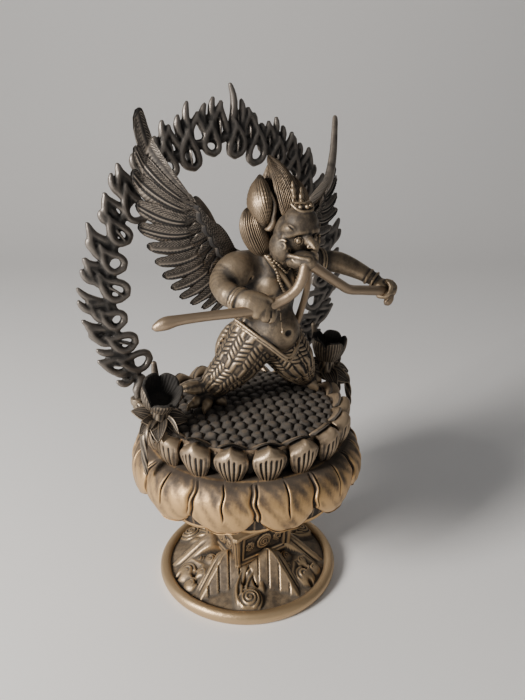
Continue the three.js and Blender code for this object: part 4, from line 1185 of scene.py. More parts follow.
def model_jewels(clay):
    """A crescent of gems at the top of the forehead, and two small jewels stacked on the hair."""
    mid = HEAD_MIDDLE
    crescent = ((-3.9, -29.6, 82.2), (-3.2, -31.6, 80.9), (-1.4, -33, 80.1), (mid, -33.3, 79.9))
    for side in (-1, 1):
        bow = [(mid + side * (mid - a) * 0.86, b, u, 0.45) for a, b, u in crescent]
        clay.rod(joints_of(*bow), 0.3, steps=3)
        lump(clay, (mid + side * 2.1, -31.8, 81.4), (0.9, 0.7, 0.7), soft=0.35)
        fringe = beside(HEAD_MIDDLE, side, (3.8, -29.4, 82.6, 0.36), (2.2, -30.8, 82.6, 0.42),
                        (0, -31.6, 82.4, 0.42))
        clay.rod(fringe, 0.3, steps=3)
    lump(clay, (mid, -32.8, 81.4), (0.8, 0.8, 0.75), soft=0.25)
    for a, b, u, size in ((-0.7, -28.4, 84.4, 0.9), (-0.4, -27.6, 86.0, 1.2), (0, -26.6, 87.7, 0.75),
                          (1.1, -30, 82.9, 0.7), (1.9, -28.9, 84.2, 1.1), (2.6, -27.8, 85.8, 0.85)):
        lump(clay, (a, b + 0.6, u), (size * 0.8, size * 0.6, size), (0, 0.5, 1), 0.5)
    for stalk in (((-0.9, -27.6, 82.6, 0.5), (-0.4, -26.6, 86.6, 0.5), (0.1, -25.6, 88.8, 0.3)),
                  ((0.9, -29, 82, 0.5), (1.9, -27.9, 84.6, 0.5), (2.7, -27, 86.8, 0.3))):
        clay.rod(joints_of(*stalk), 0.5, steps=2)


head_clay = Clay(at(-10, -41, 56.5), at(11.5, -14, 90), 0.47)
for model in (model_skull, model_beak, model_eyes_and_ears, model_jewels):
    model(head_clay)
head_points, head_faces = head_clay.skin()
cast("garuda_head", head_points, head_faces, figure_bronze, "figure_bronze", "garuda_with_snake",
     reach=(4, 20))

# Garuda, hair
# Combed locks that sweep up to a point and fold in thick lobes beside the head, with a long smooth
# ear standing in front of each pair. Every strand is a cut line in the bronze.


def swept(joints, around=24, along=40, flat=1.0, wide=(0, 1, 0), skin=None):
    """A rounded form along joints, flattened across one direction, closed to a point at each end.
    The skin, if given, is how far each place stands out: it is called with turn and share."""
    joints = np.array([[*place, radius] for place, radius in joints], float)
    stops = np.linspace(0, 1, len(joints))
    share = 0.5 - 0.5 * np.cos(np.linspace(0, 1, along) * math.pi)
    middle = np.stack([through(stops, joints[:, k], share) for k in range(4)], 1)
    run = np.gradient(middle[:, :3], axis=0)
    run /= np.linalg.norm(run, axis=1)[:, None] + 1e-9
    wide = np.asarray(wide, float)
    side = wide - (run @ wide)[:, None] * run
    side /= np.linalg.norm(side, axis=1)[:, None] + 1e-9
    third = np.cross(run, side)
    turns = np.arange(around) / around * 2 * math.pi
    t, turn = np.meshgrid(share, turns, indexing="ij")
    ends = np.sqrt(np.clip(np.minimum(t, 1 - t) / 0.035, 0.0004, 1))
    radius = middle[:, 3:] * ends
    if skin is not None:
        radius = radius + skin(turn, t) * ends
    points = (middle[:, None, :3] + (radius * np.cos(turn))[..., None] * side[:, None]
              + (radius * flat * np.sin(turn))[..., None] * third[:, None])
    return points, woven(along, around, round_columns=True)


def combed(strands, depth, drift=0.0, seed=0.0):
    """Cut strands along a lock, uneven in width, drifting round it."""
    def skin(turn, share):
        wander = 0.07 * np.sin(3 * turn + seed) + 0.05 * np.sin(9 * share + 2 * turn)
        turn = turn + drift * (share - 0.5) + wander
        fine = np.abs(np.sin(strands / 2 * turn))
        broad = np.abs(np.sin(strands / 10 * turn + seed))
        return 1.9 * depth * (fine**0.9 - 0.7) + 0.8 * depth * (broad**0.5 - 0.8)
    return skin


def lock(side, *rows):
    """Joints of a lock: outward from the head's middle, back, up, and a radius in millimetres."""
    return [(at(HEAD_MIDDLE + side * out, back, up), radius) for out, back, up, radius in rows]


def hair_bodies():
    """The tuft, the back of the hair, and on each side an upper and a lower lock and an ear."""
    tuft = lock(1, (0, -24.4, 77, 5), (0, -23.2, 81, 6.6), (0, -21.4, 85, 6.6), (0, -19.2, 88.8, 5.6),
                (-0.2, -15.9, 92.2, 4.0), (-0.4, -12.9, 94.8, 1.6), (-0.45, -11.6, 95.8, 0.3))
    bodies = [swept(tuft, 192, 38, 0.92, (1, 0, 0), combed(36, 0.7, 0.5, 0.4))]
    back = lock(1, (0, -18, 62, 6), (0, -13.5, 68, 9.4), (0, -12, 77, 9.8), (0, -12, 84, 7.2),
                (-0.2, -12.4, 91, 3.0), (-0.3, -12.2, 93.6, 0.5))
    bodies.append(swept(back, 150, 28, 0.9, (1, 0, 0), combed(38, 0.5, 0.3, 1.2)))
    for side in (-1, 1):
        upper = lock(side, (7.3, -20, 73, 1.2), (7.9, -18.8, 76.2, 6.4), (7.9, -17.0, 81.2, 9.4),
                     (6.8, -15.2, 86, 7.0), (5.7, -14, 89, 2.6), (5.5, -13.6, 90.2, 0.4))
        bodies.append(swept(upper, 196, 32, 0.6, (0, 1, 0), combed(34, 0.66, side * -1.5, 2.0)))
        lower = lock(side, (10.2, -13.4, 79.6, 0.8), (10.4, -13.8, 77.4, 4.6), (10.0, -14.6, 74, 8.0),
                     (8.6, -15.4, 69.6, 8.8), (6.8, -16.4, 65.6, 7.0), (5.4, -17.4, 62.8, 1.2))
        bodies.append(swept(lower, 196, 32, 0.74, (0, 1, 0), combed(34, 0.66, side * 0.4, 3.1)))
        ear = lock(side, (5.4, -19.4, 86, 0.4), (5.9, -20.6, 84.6, 1.2), (5.4, -22, 81.9, 1.35),
                   (5.6, -22.6, 79.4, 1.35), (6.2, -22.9, 77.2, 1.4), (6.7, -23.1, 75.2, 1.9),
                   (7.7, -22.6, 73.6, 1.9), (8.7, -21, 73.2, 0.7))
        bodies.append(swept(ear, 20, 44, 0.85, (0, 1, 0)))
    return bodies


hair_bronze = bronze("hair_bronze", {
    "Rubbed": (0.27, 0.2, 0.132), "Coat": (0.027, 0.021, 0.016), "Dirt": (0.005, 0.004, 0.0035),
    "Dust": (0.08, 0.066, 0.052), "Rub Amount": 0.08, "Edge Reach": 0.2, "Form Reach": 1.0,
    "Dust Amount": 0.1})
cast("garuda_hair", *gather(hair_bodies()), hair_bronze, "figure_bronze", "garuda_with_snake",
     reach=(3, 24))

# Garuda, bead strings
# Two strings of round beads: a short one at the throat and a long one that drops over the chest.
# Cast with the body, each bead touching the next.


def bead(centre, radius):
    """One bead, slightly flattened, its poles up and down."""
    turn = np.arange(12) / 12 * 2 * math.pi
    dip = np.linspace(0.02, 1, 9)[:, None] * math.pi * 0.99
    points = np.stack([np.sin(dip) * np.cos(turn), np.sin(dip) * np.sin(turn),
                       np.cos(dip) * np.ones(12)], -1)
    return points[::-1] * radius * [1, 1, 0.9] + centre, woven(9, 12, round_columns=True)


def on_front(x, z, points):
    """The foremost place of the body under a spot seen from the front."""
    near = np.hypot(points[:, 0] - x, points[:, 2] - z) < 1.4
    return np.array([x, points[near, 1].min(), z]) if near.any() else None


def bead_string(path, radius, points):
    """Beads side by side along a path of across and up, laid on the front of the body's points."""
    path = np.array([at(across, 0, up)[[0, 2]] for across, up in path])
    stops = np.linspace(0, 1, len(path))
    fine = np.linspace(0, 1, 600)
    line = np.stack([through(stops, path[:, k], fine) for k in range(2)], 1)
    spots = [on_front(x, z, points) for x, z in line[::6]]
    spots = np.array([spot for spot in spots if spot is not None])
    spots[1:-1] = (spots[:-2] + 2 * spots[1:-1] + spots[2:]) / 4
    walk = np.concatenate([[0], np.cumsum(np.linalg.norm(np.diff(spots, axis=0), axis=1))])
    beads = []
    for far in np.arange(0, walk[-1], radius * 1.9):
        spot = np.array([np.interp(far, walk, spots[:, k]) for k in range(3)])
        beads.append(bead(spot - [0, radius * 0.45, 0], radius))
    return beads


long_string = [(-5.4, 63.4), (-4.6, 61.4), (-2.1, 55.3), (1.4, 49.5), (3.2, 48.6), (5, 52), (7, 57.5),
               (8.2, 61)]
short_string = [(-4.2, 62), (-2.0, 59.8), (-0.6, 58.4), (1.1, 57.1), (2.8, 58.4), (4.4, 60.2),
                (5.8, 62)]
torso_points = body_points[body_points[:, 1] < -14]
strings = bead_string(long_string, 1.15, torso_points) + bead_string(short_string, 1.0, torso_points)
cast("bead_strings", *gather(strings), figure_bronze, "figure_bronze", "garuda_with_snake", reach=(1, 3))

# Serpent
# A smooth thick serpent held in both fists and bitten across by the beak, its blunt head out to the
# right, and a thinner loop hanging behind it to the hip. Cast with the figure, rubbed paler.

serpent_bronze = bronze("serpent_bronze", {
    "Rubbed": (0.33, 0.245, 0.165), "Coat": (0.07, 0.053, 0.038), "Dirt": (0.01, 0.008, 0.006),
    "Dust": (0.16, 0.135, 0.11), "Rub Amount": 0.42, "Edge Reach": 0.08, "Form Reach": 0.6,
    "Dust Amount": 0.15})


def serpent_skin(turn, share):
    """The cross lines of the belly, and the crease that parts it from the smooth back."""
    under = np.cos(turn + 1.9)
    belly = 0.1 * np.cos(2 * math.pi * share * 90) * smooth(under, 0.45, 0.75)
    return belly - 0.3 * ridge(under, 0.42, 0.08)


def serpent_bodies():
    """The part from the head to the beak, the part from the beak to the left fist, and the loop."""
    head_end = joints_of((-51, -20.4, 46.4, 0.6), (-49.6, -21.1, 46.9, 1.5), (-46.8, -22.1, 47.9, 2.2),
                         (-42.4, -23.6, 48.6, 1.75), (-34, -26, 48.9, 1.6), (-25, -28.4, 48.9, 1.7),
                         (-17.5, -30, 49, 1.8), (-13.4, -31.2, 49.7, 1.8), (-10.2, -32.2, 50.9, 1.75),
                         (-7.3, -34, 52.8, 1.75), (-4.9, -35.4, 55.3, 1.75), (-3.4, -36.3, 59, 1.75),
                         (-2.5, -36.4, 62.6, 1.7), (-1.8, -35.6, 64.6, 1.2))
    held = joints_of((-1.6, -36.4, 64.6, 1.1), (-0.2, -37, 63.2, 1.8), (3, -36.8, 61, 1.8),
                     (6.6, -36.6, 58.6, 1.75), (13.3, -36, 54.3, 1.75), (19, -35, 51.1, 1.75),
                     (25.9, -34, 49.4, 1.75), (34.1, -32.6, 47.5, 1.85), (40.5, -31.4, 45.9, 1.9),
                     (42.3, -31.9, 44, 1.9), (41.6, -32.4, 42.2, 1.8), (39.6, -32.6, 41, 0.9))
    hanging = joints_of((1.8, -34, 62.4, 0.9), (3.4, -31.2, 60.4, 1.1), (5.3, -29, 58.2, 1.15),
                        (7.5, -26, 55, 1.2), (10, -22.5, 50.4, 1.2), (11.8, -18.5, 44, 1.25),
                        (12.6, -15, 37.3, 1.35), (12.5, -13, 33, 1.4))
    return [swept(head_end, 28, 220, 1.0, (0.2, 0.1, 1), serpent_skin),
            swept(held, 26, 170, 0.94, (0.2, 0.1, 1), serpent_skin),
            swept(hanging, 18, 70, 1.0, (0, 1, 0))]


cast("serpent", *gather(serpent_bodies()), serpent_bronze, "figure_bronze", "garuda_with_snake",
     reach=(3, 14))

# Wings
# Two spread wings, each a fan of thirteen sickle-shaped feathers under a scalloped row of short
# ones and a pebbled shoulder patch, on a bent arm. Thin bronze castings fixed at the shoulders, dark,
# with the raised shaft lines rubbed pale.

WING_SHOULDER = FIGURE_FOOT + 0.6 * FIGURE_HEIGHT
FEATHERS = 13
FEATHER_LENGTH = 34.5
FAN_STOPS = [-0.05, 0.04, 0.115, 0.192, 0.269, 0.346, 0.5, 0.654, 0.808, 1]
FAN_TURNS = [75, 64, 49, 35.6, 16, 2, -20.7, -37, -50, -66]
FAN_LENGTHS = [53, 54, 43.5, 42, 36.5, 37, 35, 36.5, 33.5, 27]
SICKLE_SAG = 4.2
COVERTS = 11
COVERT_ENDS = [6.5, 11.5, 14.5, 14]
LEFT_DROOP = math.radians(-4)
BARB_PITCH = 1.75

wing_bronze = bronze("wing_bronze", {
    "Rubbed": (0.3, 0.255, 0.21), "Coat": (0.038, 0.032, 0.027), "Dirt": (0.008, 0.007, 0.007),
    "Dust": (0.15, 0.14, 0.13), "Rub Amount": 0.46, "Edge Reach": 0.12, "Form Reach": 1.0,
    "Dust Amount": 0.15})


def wing_spot(side, out, back, up):
    """A place on a wing: outward from the figure's middle, back, and up, the left one hanging lower."""
    droop = LEFT_DROOP if side > 0 else 0.0
    rise = up - 100
    return np.stack([FIGURE_MIDDLE + side * (out * np.cos(droop) - rise * np.sin(droop)), back + 0 * out,
                     WING_SHOULDER + out * np.sin(droop) + rise * np.cos(droop)], -1)


def fan_spot(side, share, reach, forward):
    """A place on the fan: share 0 at the leading feather to 1 at the innermost, reach from the arm.
    Each feather sags below its straight line and curves up to its tip."""
    turn = np.radians(through(FAN_STOPS, FAN_TURNS, share))
    sweep = (16 - 10 * share) * np.clip(reach / FEATHER_LENGTH, 0, 1) ** 1.5
    sag = SICKLE_SAG * np.sin(math.pi * np.clip(reach / feather_reach(share), 0, 1))
    out = 46 - 31 * share + reach * np.cos(turn) + sag * np.sin(turn)
    up = 139 - 49 * share + reach * np.sin(turn) - sag * np.cos(turn)
    return wing_spot(side, out, -11 + 6 * share + sweep - forward, up)


def feather_reach(share):
    """How long a feather is, by its share along the fan."""
    return through(FAN_STOPS, FAN_LENGTHS, share)


def feather(side, share, half_share, start, end, lift, round_tip, shafts, edge_rim,
            along=64, across=24):
    """One feather of the fan: a thin shell, domed, shingled over the next, with raised shaft lines
    and fine slanting barbs on its front and a plain shaft on its back."""
    u = np.sin(np.linspace(-1, 1, across) * math.pi / 2)
    v = np.linspace(0, 1, along) ** 0.9
    v, u = np.meshgrid(v, u, indexing="ij")
    tip = end - round_tip * (1 - np.sqrt(np.clip(1 - u**2, 0, 1)))
    reach = start + v * (tip - start)
    narrow = 1 - 0.34 * smooth(v, 0.7, 1.0)
    spot_share = share + u * half_share * narrow
    edge = np.abs(u)
    dome = 1.2 * (1 - u**2)
    if shafts == 2:
        shaft = 1.5 * (ridge(u, 0.3, 0.09) + ridge(u, -0.06, 0.09))
        shaft = shaft * smooth(v, 1.0, 0.93)
    elif shafts == 1:
        shaft = 1.2 * ridge(u, 0.42, 0.11) * smooth(v, 1.0, 0.93)
    else:
        shaft = 0.4 * ridge(u, 0, 0.1) * smooth(v, 1.0, 0.9)
    shaft = shaft * smooth(reach, 9, 15) if shafts else shaft
    slant = np.cos(2 * math.pi * (reach / BARB_PITCH - edge * 2.6))
    barbs = 0.24 * slant * smooth(edge, 0.2, 0.3) * smooth(edge, 1.0, 0.9)
    rim = edge_rim * ridge(np.maximum(edge, smooth(v, 0.86, 1.0)), 0.93, 0.06)
    front = lift + dome + shaft + barbs + rim - 0.9 * u
    back = lift - 0.9 - 0.9 * u - 0.35 * ridge(u, 0, 0.15)
    front_net = fan_spot(side, spot_share, reach, front)
    back_net = fan_spot(side, spot_share[:, ::3], reach[:, ::3], back[:, ::3])
    points = np.concatenate([front_net, back_net[:, ::-1]], 1)
    faces = woven(along, points.shape[1], round_columns=True)
    return points, faces if side < 0 else faces[:, ::-1]


def shoulder_patch(side):
    """The domed patch of pebbled down over the roots of the coverts."""
    u, v = np.meshgrid(np.linspace(0, 1, 104), np.linspace(0, 1, 26), indexing="xy")
    share = 0.05 + 0.87 * u
    reach = -6.5 + v * (10.5 + 1.3 * np.abs(np.sin(u * 22)) - 4.5 * smooth(u, 0.12, 0))
    inset = np.minimum(np.minimum(u, 1 - u) / 0.06, np.minimum(v + 0.2, 1 - v) / 0.22)
    closing = np.sqrt(np.clip(inset, 0, 1))
    pebble = 0.3 * np.cos(2 * math.pi * (u * 26 + 0.5 * np.floor(v * 6))) * np.cos(2 * math.pi * v * 6)
    rim = 0.9 * ridge(v, 0.9, 0.05) * smooth(u, 0.02, 0.08) * smooth(u, 0.98, 0.92)
    front = fan_spot(side, share, reach, 3.4 + (3.6 + pebble * smooth(v, 0.86, 0.8)) * closing + rim)
    back = fan_spot(side, share, reach, 0.6)
    points = np.concatenate([front, back[:, ::-1]], 1)
    faces = woven(26, 208, round_columns=True)
    return points, faces if side < 0 else faces[:, ::-1]


def wing_bodies(side):
    """The feathers of a fan, the row of short ones, the shoulder patch, and the arm, which on the
    left wing runs on up into a tall horn."""
    bodies = []
    for k in range(FEATHERS):
        share = (k + 0.5) / FEATHERS
        end = feather_reach(share) * (1.0 + 0.012 * math.sin(k * 2.2))
        if side > 0:
            end *= 0.62 + 0.38 * float(smooth(share, 0.05, 0.38))
        broad, tip = (0.95, 15) if k == 0 else (0.68, 8)
        shafts = 0 if k == 0 else 2 if k < 5 else 1
        lift = 0.5 + 0.12 * (k % 2)
        bodies.append(feather(side, share, broad / FEATHERS, 2, end, lift, tip, shafts, 0.4))
    for k in range(COVERTS):
        share = (k + 0.5) / COVERTS
        end = float(through([0, 0.3, 0.6, 1], COVERT_ENDS, np.array(share)))
        end += 0.6 * math.sin(k * 1.9)
        bodies.append(feather(side, share, 0.6 / COVERTS, -2, end, 2.6, 3.6, 0, 0.9, 22, 21))
    bodies.append(shoulder_patch(side))

    def pebbled(turn, share):
        rough = smooth(share, 0.05, 0.2) * smooth(share, 0.62, 0.5)
        return 0.22 * rough * np.cos(turn * 14 + 20 * share) * np.cos(share * 130 + 3 * turn)

    horn = side > 0
    spots = [(5.5, -5, 98.5, 4.4), (14, -7, 101, 4.2), (23, -8, 108.5, 3.4), (30, -9, 118.5, 3.2),
             (36, -10.4, 129, 3.4 if horn else 3.0), (43, -11.6, 137, 3.7 if horn else 3.0)]
    if horn:
        spots += [(51, -10, 145, 3.6), (57.4, -5.2, 160, 3.0), (61.6, 0, 174, 2.5),
                  (64.2, 3.6, 182.4, 2.1), (64.8, 4.6, 184.6, 0.5)]
    else:
        spots += [(45.4, -11.6, 139.4, 1.6)]
    joints = [(wing_spot(side, out, back, up), radius) for out, back, up, radius in spots]
    bodies.append(swept(joints, 36, 84, 0.7 if horn else 0.62, (side, 0, -1), pebbled))
    return bodies


cast("right_wing_feathers", *gather(wing_bodies(-1)), wing_bronze, "wing_bronze", "right_wing",
     reach=(3, 12))
cast("left_wing_feathers", *gather(wing_bodies(1)), wing_bronze, "wing_bronze", "left_wing",
     reach=(3, 12))

# Ring of flames
# An open hoop of flames behind the figure, a little taller than wide: loops of thick bronze rope
# round sunk or pierced eyes, with pairs of blunt fingers outside. One flat casting on two pins.

RING_RADIUS = 87.5
RING_STRETCH = 1.065
RING_PLANE = 28
RING_CENTRE = 214.8
RING_START = -40
RING_SWEEP = 260
RING_FOOT_OFFSET = 70
LOOPS = 22
FINGER_PAIRS = 24
CREST_TURN = 84.5
LOOP_BOW = (0.12, 2.4, 0.1)
FINGER_BOW = (0.16, 2.6, 0.12)

ring_bronze = bronze("ring_bronze", {
    "Rubbed": (0.19, 0.168, 0.148), "Coat": (0.036, 0.033, 0.03), "Dirt": (0.007, 0.006, 0.006),
    "Dust": (0.12, 0.105, 0.09), "Rub Amount": 0.2, "Edge Reach": 0.16, "Form Reach": 1.3,
    "Dust Amount": 0.12})


def ring_spot(radius, turn, forward=0.0):
    """A place on the ring, from a radius, a turn in degrees from its left side, and how far forward."""
    turn = math.radians(turn)
    return np.array([FIGURE_MIDDLE + radius * math.cos(turn), RING_PLANE - forward,
                     RING_CENTRE + RING_STRETCH * radius * math.sin(turn)])


def flame(turn, radius, length, width, forward, bow):
    """The way a flame rises from its root on the hoop, and a function that gives a place on it from
    shares of its length and width. The bow is its swing, how fast it swings, and its fall."""
    lean = math.radians(90 + (turn - 90) * (0.42 + abs(turn - 90) / 550))
    along = np.array([math.cos(lean), 0, math.sin(lean)])
    aside = np.array([along[2], 0, -along[0]])
    root = ring_spot(radius, turn, forward)
    curl = -1 if turn > 90 else 1
    swing, speed, fall = bow

    def spot(run, over):
        bend = curl * length * (swing * math.sin(run * speed) - fall * run**2)
        return root + along * run * length + aside * (over * width + bend)

    return along, spot


def model_loop(clay, turn, radius, length, width, forward, pierced):
    """A thick rope looped round a sunk or pierced eye, round below and drawn up to a bent tip."""
    along, spot = flame(turn, radius, length, width, forward, LOOP_BOW)
    profile = ((-0.02, 0.0, 2.3), (0.07, 0.36, 2.4), (0.26, 0.5, 2.35), (0.48, 0.42, 2.3),
               (0.7, 0.22, 2.2), (0.86, 0.06, 2.0), (1.0, 0.0, 1.4))
    for hand in (-1, 1):
        clay.rod([(spot(run, half * hand), thick) for run, half, thick in profile], 0.6, steps=2)
    if pierced:
        clay.egg(spot(0.28, 0), (0.22 * width, 4.0, 0.17 * length), along, soft=0.5, cut=True)
    else:
        clay.egg(spot(0.32, 0) + [0, 0.9, 0], (0.42 * width, 0.9, 0.34 * length), along, soft=0.4)


def model_fingers(clay, turn, radius, length, width, forward, uneven):
    """Two blunt fingers that rise from one rounded fold, one higher than the other, bent alike."""
    along, spot = flame(turn, radius, length, width, forward, FINGER_BOW)
    high, low = (uneven, 1.0) if turn > 90 else (1.0, uneven)
    profile = ((-0.14, 0.0, 2.3), (0.0, 0.26, 2.5), (0.3, 0.38, 2.5), (0.62, 0.34, 2.4),
               (0.86, 0.28, 2.0), (1.0, 0.24, 1.4))
    for hand, reach in ((-1, high), (1, low)):
        clay.rod([(spot(run * reach, half * hand), thick) for run, half, thick in profile], 0.6, steps=2)
    clay.egg(spot(0.26, 0) + [0, 1.1, 0], (0.36 * width, 1.0, 0.3 * length), along, soft=0.4)


def model_ring(clay):
    """The hoop with its inner and outer row of loops, the fingers outside, and a pin at each end."""
    band = [(ring_spot(RING_RADIUS - 3 + 1.2 * math.cos(k * 1.7), RING_START + RING_SWEEP * k / 60), 2.4)
            for k in range(61)]
    clay.rod(band, 1)
    for k in range(LOOPS):
        turn = RING_START + RING_SWEEP * (k + 0.5) / LOOPS
        uneven = math.sin(k * 2.2)
        model_loop(clay, turn, RING_RADIUS - 12.5 - 2.4 * uneven, 20 + 2.4 * uneven, 10.6 + uneven, 1.0,
                   k % 2 == 1)
    for k in range(LOOPS):
        turn = RING_START + RING_SWEEP * (k + 0.02 + 0.12 * math.sin(k * 3.1)) / LOOPS
        model_loop(clay, turn, RING_RADIUS - 4.5 + math.sin(k * 1.3), 19.5 + 2 * math.sin(k * 1.9),
                   10.6, -0.2, k % 4 == 0)
    for k in range(FINGER_PAIRS):
        turn = RING_START + RING_SWEEP * (k + 0.5) / FINGER_PAIRS
        past = turn - CREST_TURN
        crest = 1 + 0.64 * max(0, 1 - past / 40 if past > 0 else 1 + past / 9)
        low = abs(turn - 90)
        spread = 0.92 + 0.18 * float(smooth(low, 60, 100)) - 0.5 * float(smooth(low, 106, 126))
        length = (15.5 + 2.2 * math.sin(k * 2.7 + 3)) * crest * spread
        model_fingers(clay, turn, RING_RADIUS + 1.5, length, 9.4, -0.8, 0.68 + 0.14 * math.sin(k * 1.7))
    foot_height = ring_spot(RING_RADIUS, RING_START)[2] - 4
    for side in (-1, 1):
        end = ring_spot(RING_RADIUS, RING_START if side > 0 else 180 - RING_START)
        pin = np.array([FIGURE_MIDDLE + side * RING_FOOT_OFFSET, RING_PLANE, foot_height])
        clay.rod([(end + [0, 0, 3], 3.2), (pin, 3.0)], 2)
        clay.rod([(pin, 2.3), (pin - [0, 0, 8.6], 2.2)], 0.5)


ring_clay = Clay((-101, 22.5, 139), (110, 33.5, 340), 1.06)
model_ring(ring_clay)
cast("ring_of_flames", *ring_clay.skin(), ring_bronze, "ring_bronze", "flame_ring", reach=(4, 18))

# Lotus flowers
# A lotus stands at each side of the throne: an open cup on a thick stem with pointed leaves, a
# drooping spray of weed and a socket behind that takes a pin of the ring. Bronze, dark, edges rubbed.

FLOWER_OFFSET = 68
BOWL_RADIUS = 12.5
BOWL_HEIGHT = 15
STEM_HEIGHT = 16
CUP_ROWS = 44
RING_FOOT_HEIGHT = float(ring_spot(RING_RADIUS, RING_START)[2]) - 4

flower_bronze = bronze("flower_bronze", {
    "Rubbed": (0.28, 0.225, 0.165), "Coat": (0.042, 0.034, 0.027), "Dirt": (0.007, 0.006, 0.005),
    "Dust": (0.11, 0.095, 0.08), "Rub Amount": 0.22, "Edge Reach": 0.12, "Form Reach": 0.9,
    "Dust Amount": 0.2})


def ribbed_leaf(root, tip, width, arch, hollow, ribs, lean=(-0.42, -0.62, 0.66)):
    """A pointed leaf, a thin shell arched along its length and cupped across, with raised ribs."""
    root = np.asarray(root, float)
    tip = np.asarray(tip, float)
    square = frame_along(tip - root, lean)
    u, v = np.meshgrid(np.linspace(-1, 1, 19), np.linspace(0, 1, 26), indexing="xy")
    half = width * np.sin(math.pi * np.clip(v * 0.94 + 0.06, 0, 1) ** 0.8) ** 0.75 + 0.12
    rise = arch * np.sin(math.pi * v) + hollow * u**2 * half / width
    rise = rise + 0.28 * np.cos(ribs * math.pi * u) * smooth(np.abs(u), 1, 0.8) + 0.3 * ridge(u, 0, 0.12)
    points = root + v[..., None] * (tip - root) + (u * half)[..., None] * square[0]
    points = points + rise[..., None] * square[1]
    under = points - square[1] * 1.3
    net = np.concatenate([points, under[:, ::-1]], 1)
    return net, woven(26, 38, round_columns=True)[:, ::-1]


def cup(side, x):
    """The open cup: ten petals side by side, ribbed outside, notched between at the lip."""
    columns = 150
    turns = np.arange(columns) / columns * 2 * math.pi
    radii = [0.5, BOWL_RADIUS * 0.5, BOWL_RADIUS * 0.75, BOWL_RADIUS * 0.95, BOWL_RADIUS * 1.02,
             BOWL_RADIUS, BOWL_RADIUS - 1.2, BOWL_RADIUS - 2, BOWL_RADIUS * 0.8 - 1.8,
             BOWL_RADIUS * 0.4, 0.5]
    heights = [-3, -2.4, 0, BOWL_HEIGHT * 0.4, BOWL_HEIGHT * 0.75, BOWL_HEIGHT, BOWL_HEIGHT + 0.4,
               BOWL_HEIGHT - 0.6, BOWL_HEIGHT * 0.45, 3, 2.4]
    stops = np.linspace(0, 1, len(radii))
    t, turn = np.meshgrid(np.linspace(0, 1, CUP_ROWS), turns, indexing="ij")
    radius = through(stops, radii, t)
    height = through(stops, heights, t)
    petal = np.abs(np.sin(turn * 2.5))
    outside = smooth(t, 0.52, 0.46) * smooth(t, 0.04, 0.2)
    radius = radius + outside * (1.1 * petal - 0.9 + 0.2 * np.cos(turn * 40))
    radius = radius + 0.25 * np.cos(turn * 30) * smooth(t, 0.5, 0.6)
    near = smooth(np.cos(turn + math.radians(100)), 0.1, 0.9) if side < 0 else 0
    height = height - (4 * (1 - petal) ** 2 + 5 * near) * smooth(height, BOWL_HEIGHT * 0.4, BOWL_HEIGHT)
    points = turned_net(np.maximum(radius, 0.2), height, turn)
    tilt = math.radians(26 if side < 0 else 6)
    y = points[..., 1] * math.cos(tilt) - points[..., 2] * math.sin(tilt)
    z = points[..., 1] * math.sin(tilt) + points[..., 2] * math.cos(tilt)
    net = np.stack([points[..., 0] + x, y, z + CROWN_TOP + STEM_HEIGHT], -1)
    return net, woven(CUP_ROWS, columns, round_columns=True)


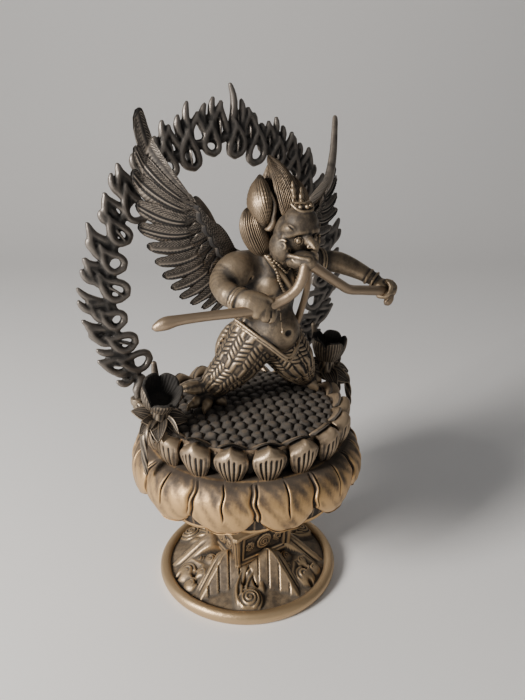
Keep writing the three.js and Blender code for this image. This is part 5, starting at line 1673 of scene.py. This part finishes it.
def flower_bodies(side):
    """The cup, the knotty stem, leaves in pairs, the spray of weed, the branch with the socket for
    the ring's pin, and a finger of bronze that stands up behind the cup."""
    x = FIGURE_MIDDLE + side * FLOWER_OFFSET
    root = np.array([x, 1, CROWN_TOP + 5])

    def knotty(turn, share):
        return 0.35 * np.cos(5 * turn + 9 * share) + 0.25 * np.cos(11 * turn - 14 * share)

    def joints(*rows):
        """From rows of outward from the stem, back, up from the petals' top, and radius."""
        return [((x + side * out, back, CROWN_TOP + up), radius) for out, back, up, radius in rows]

    stem = joints((0, 2, -2, 5.4), (0, 1.6, 4, 6.4), (0, 1, STEM_HEIGHT + 1, 4.4))
    bodies = [cup(side, x), swept(stem, 40, 40, 1, (0, 1, 0), knotty)]
    rows = [(-160, 18, 4), (-120, 18, 7), (-75, 17, 8), (165, 17, -8), (40, 16, -6)]
    if side < 0:
        rows.append((-20, 18, 3))
    for turn, length, droop in rows:
        turn = math.radians(turn if side < 0 else 180 - turn)
        tip = root + np.array([length * math.cos(turn), length * math.sin(turn), -droop])
        bodies.append(ribbed_leaf(root, tip, 5.6, 2.4, 1.6, 7))
        twist = turn + 0.5
        low = root + np.array([length * 0.8 * math.cos(twist), length * 0.8 * math.sin(twist), -droop - 5])
        bodies.append(ribbed_leaf(root - [0, 0, 3], low, 4.4, 1.6, 1.2, 9))
    weed = joints((0, 0, 5, 2.4), (8, -3, 5, 3.0), (13, -4.6, 1, 3.6), (15, -6.4, -8, 3.2),
                  (15.6, -8, -18, 2.6), (15.8, -9, -26, 1.2))
    bodies.append(swept(weed, 30, 70, 0.5, (0, 1, 0),
                        lambda turn, share: 0.55 * np.cos(4 * turn + 30 * share)))
    pin_x = FIGURE_MIDDLE + side * RING_FOOT_OFFSET
    branch = joints((0, 2, 6, 3.4), (1, 15, 2, 3.2))
    branch.append(((pin_x, RING_PLANE, RING_FOOT_HEIGHT - 10), 4.2))
    bodies.append(swept(branch, 30, 40, 1, (0, 0, 1), knotty))
    socket = [((pin_x, RING_PLANE, RING_FOOT_HEIGHT - drop), radius)
              for drop, radius in ((11.5, 3.2), (9, 4.7), (5.2, 4.6))]
    bodies.append(swept(socket, 30, 24, 1, (0, 1, 0)))
    finger = joints((-1, 3, STEM_HEIGHT - 4, 3.0), (-3, 9, STEM_HEIGHT + 8, 2.9),
                    (-4, BOWL_RADIUS, STEM_HEIGHT + BOWL_HEIGHT + 8, 1.6))
    bodies.append(swept(finger, 24, 40, 0.8, (1, 0, 0)))
    return bodies


def cup_painted_shade(bodies):
    """The hollow of the cup, the first body, is painted black as shade."""
    columns = bodies[0][0].size // 3 // CUP_ROWS
    # The inner rows of the cup get painted shade, and the other bodies get none.
    down = np.repeat(smooth(np.linspace(0, 1, CUP_ROWS), 0.5, 0.56), columns)
    return np.concatenate([2.4 * down, np.zeros(sum(net.size // 3 for net, faces in bodies[1:]))])


right_nets = flower_bodies(-1)
left_nets = flower_bodies(1)
cast("right_lotus", *gather(right_nets), flower_bronze, "flower_bronze", "right_lotus_flower",
     reach=(3, 12), soil_and_painted_shade=cup_painted_shade(right_nets))
cast("left_lotus", *gather(left_nets), flower_bronze, "flower_bronze", "left_lotus_flower",
     reach=(3, 12), soil_and_painted_shade=cup_painted_shade(left_nets))
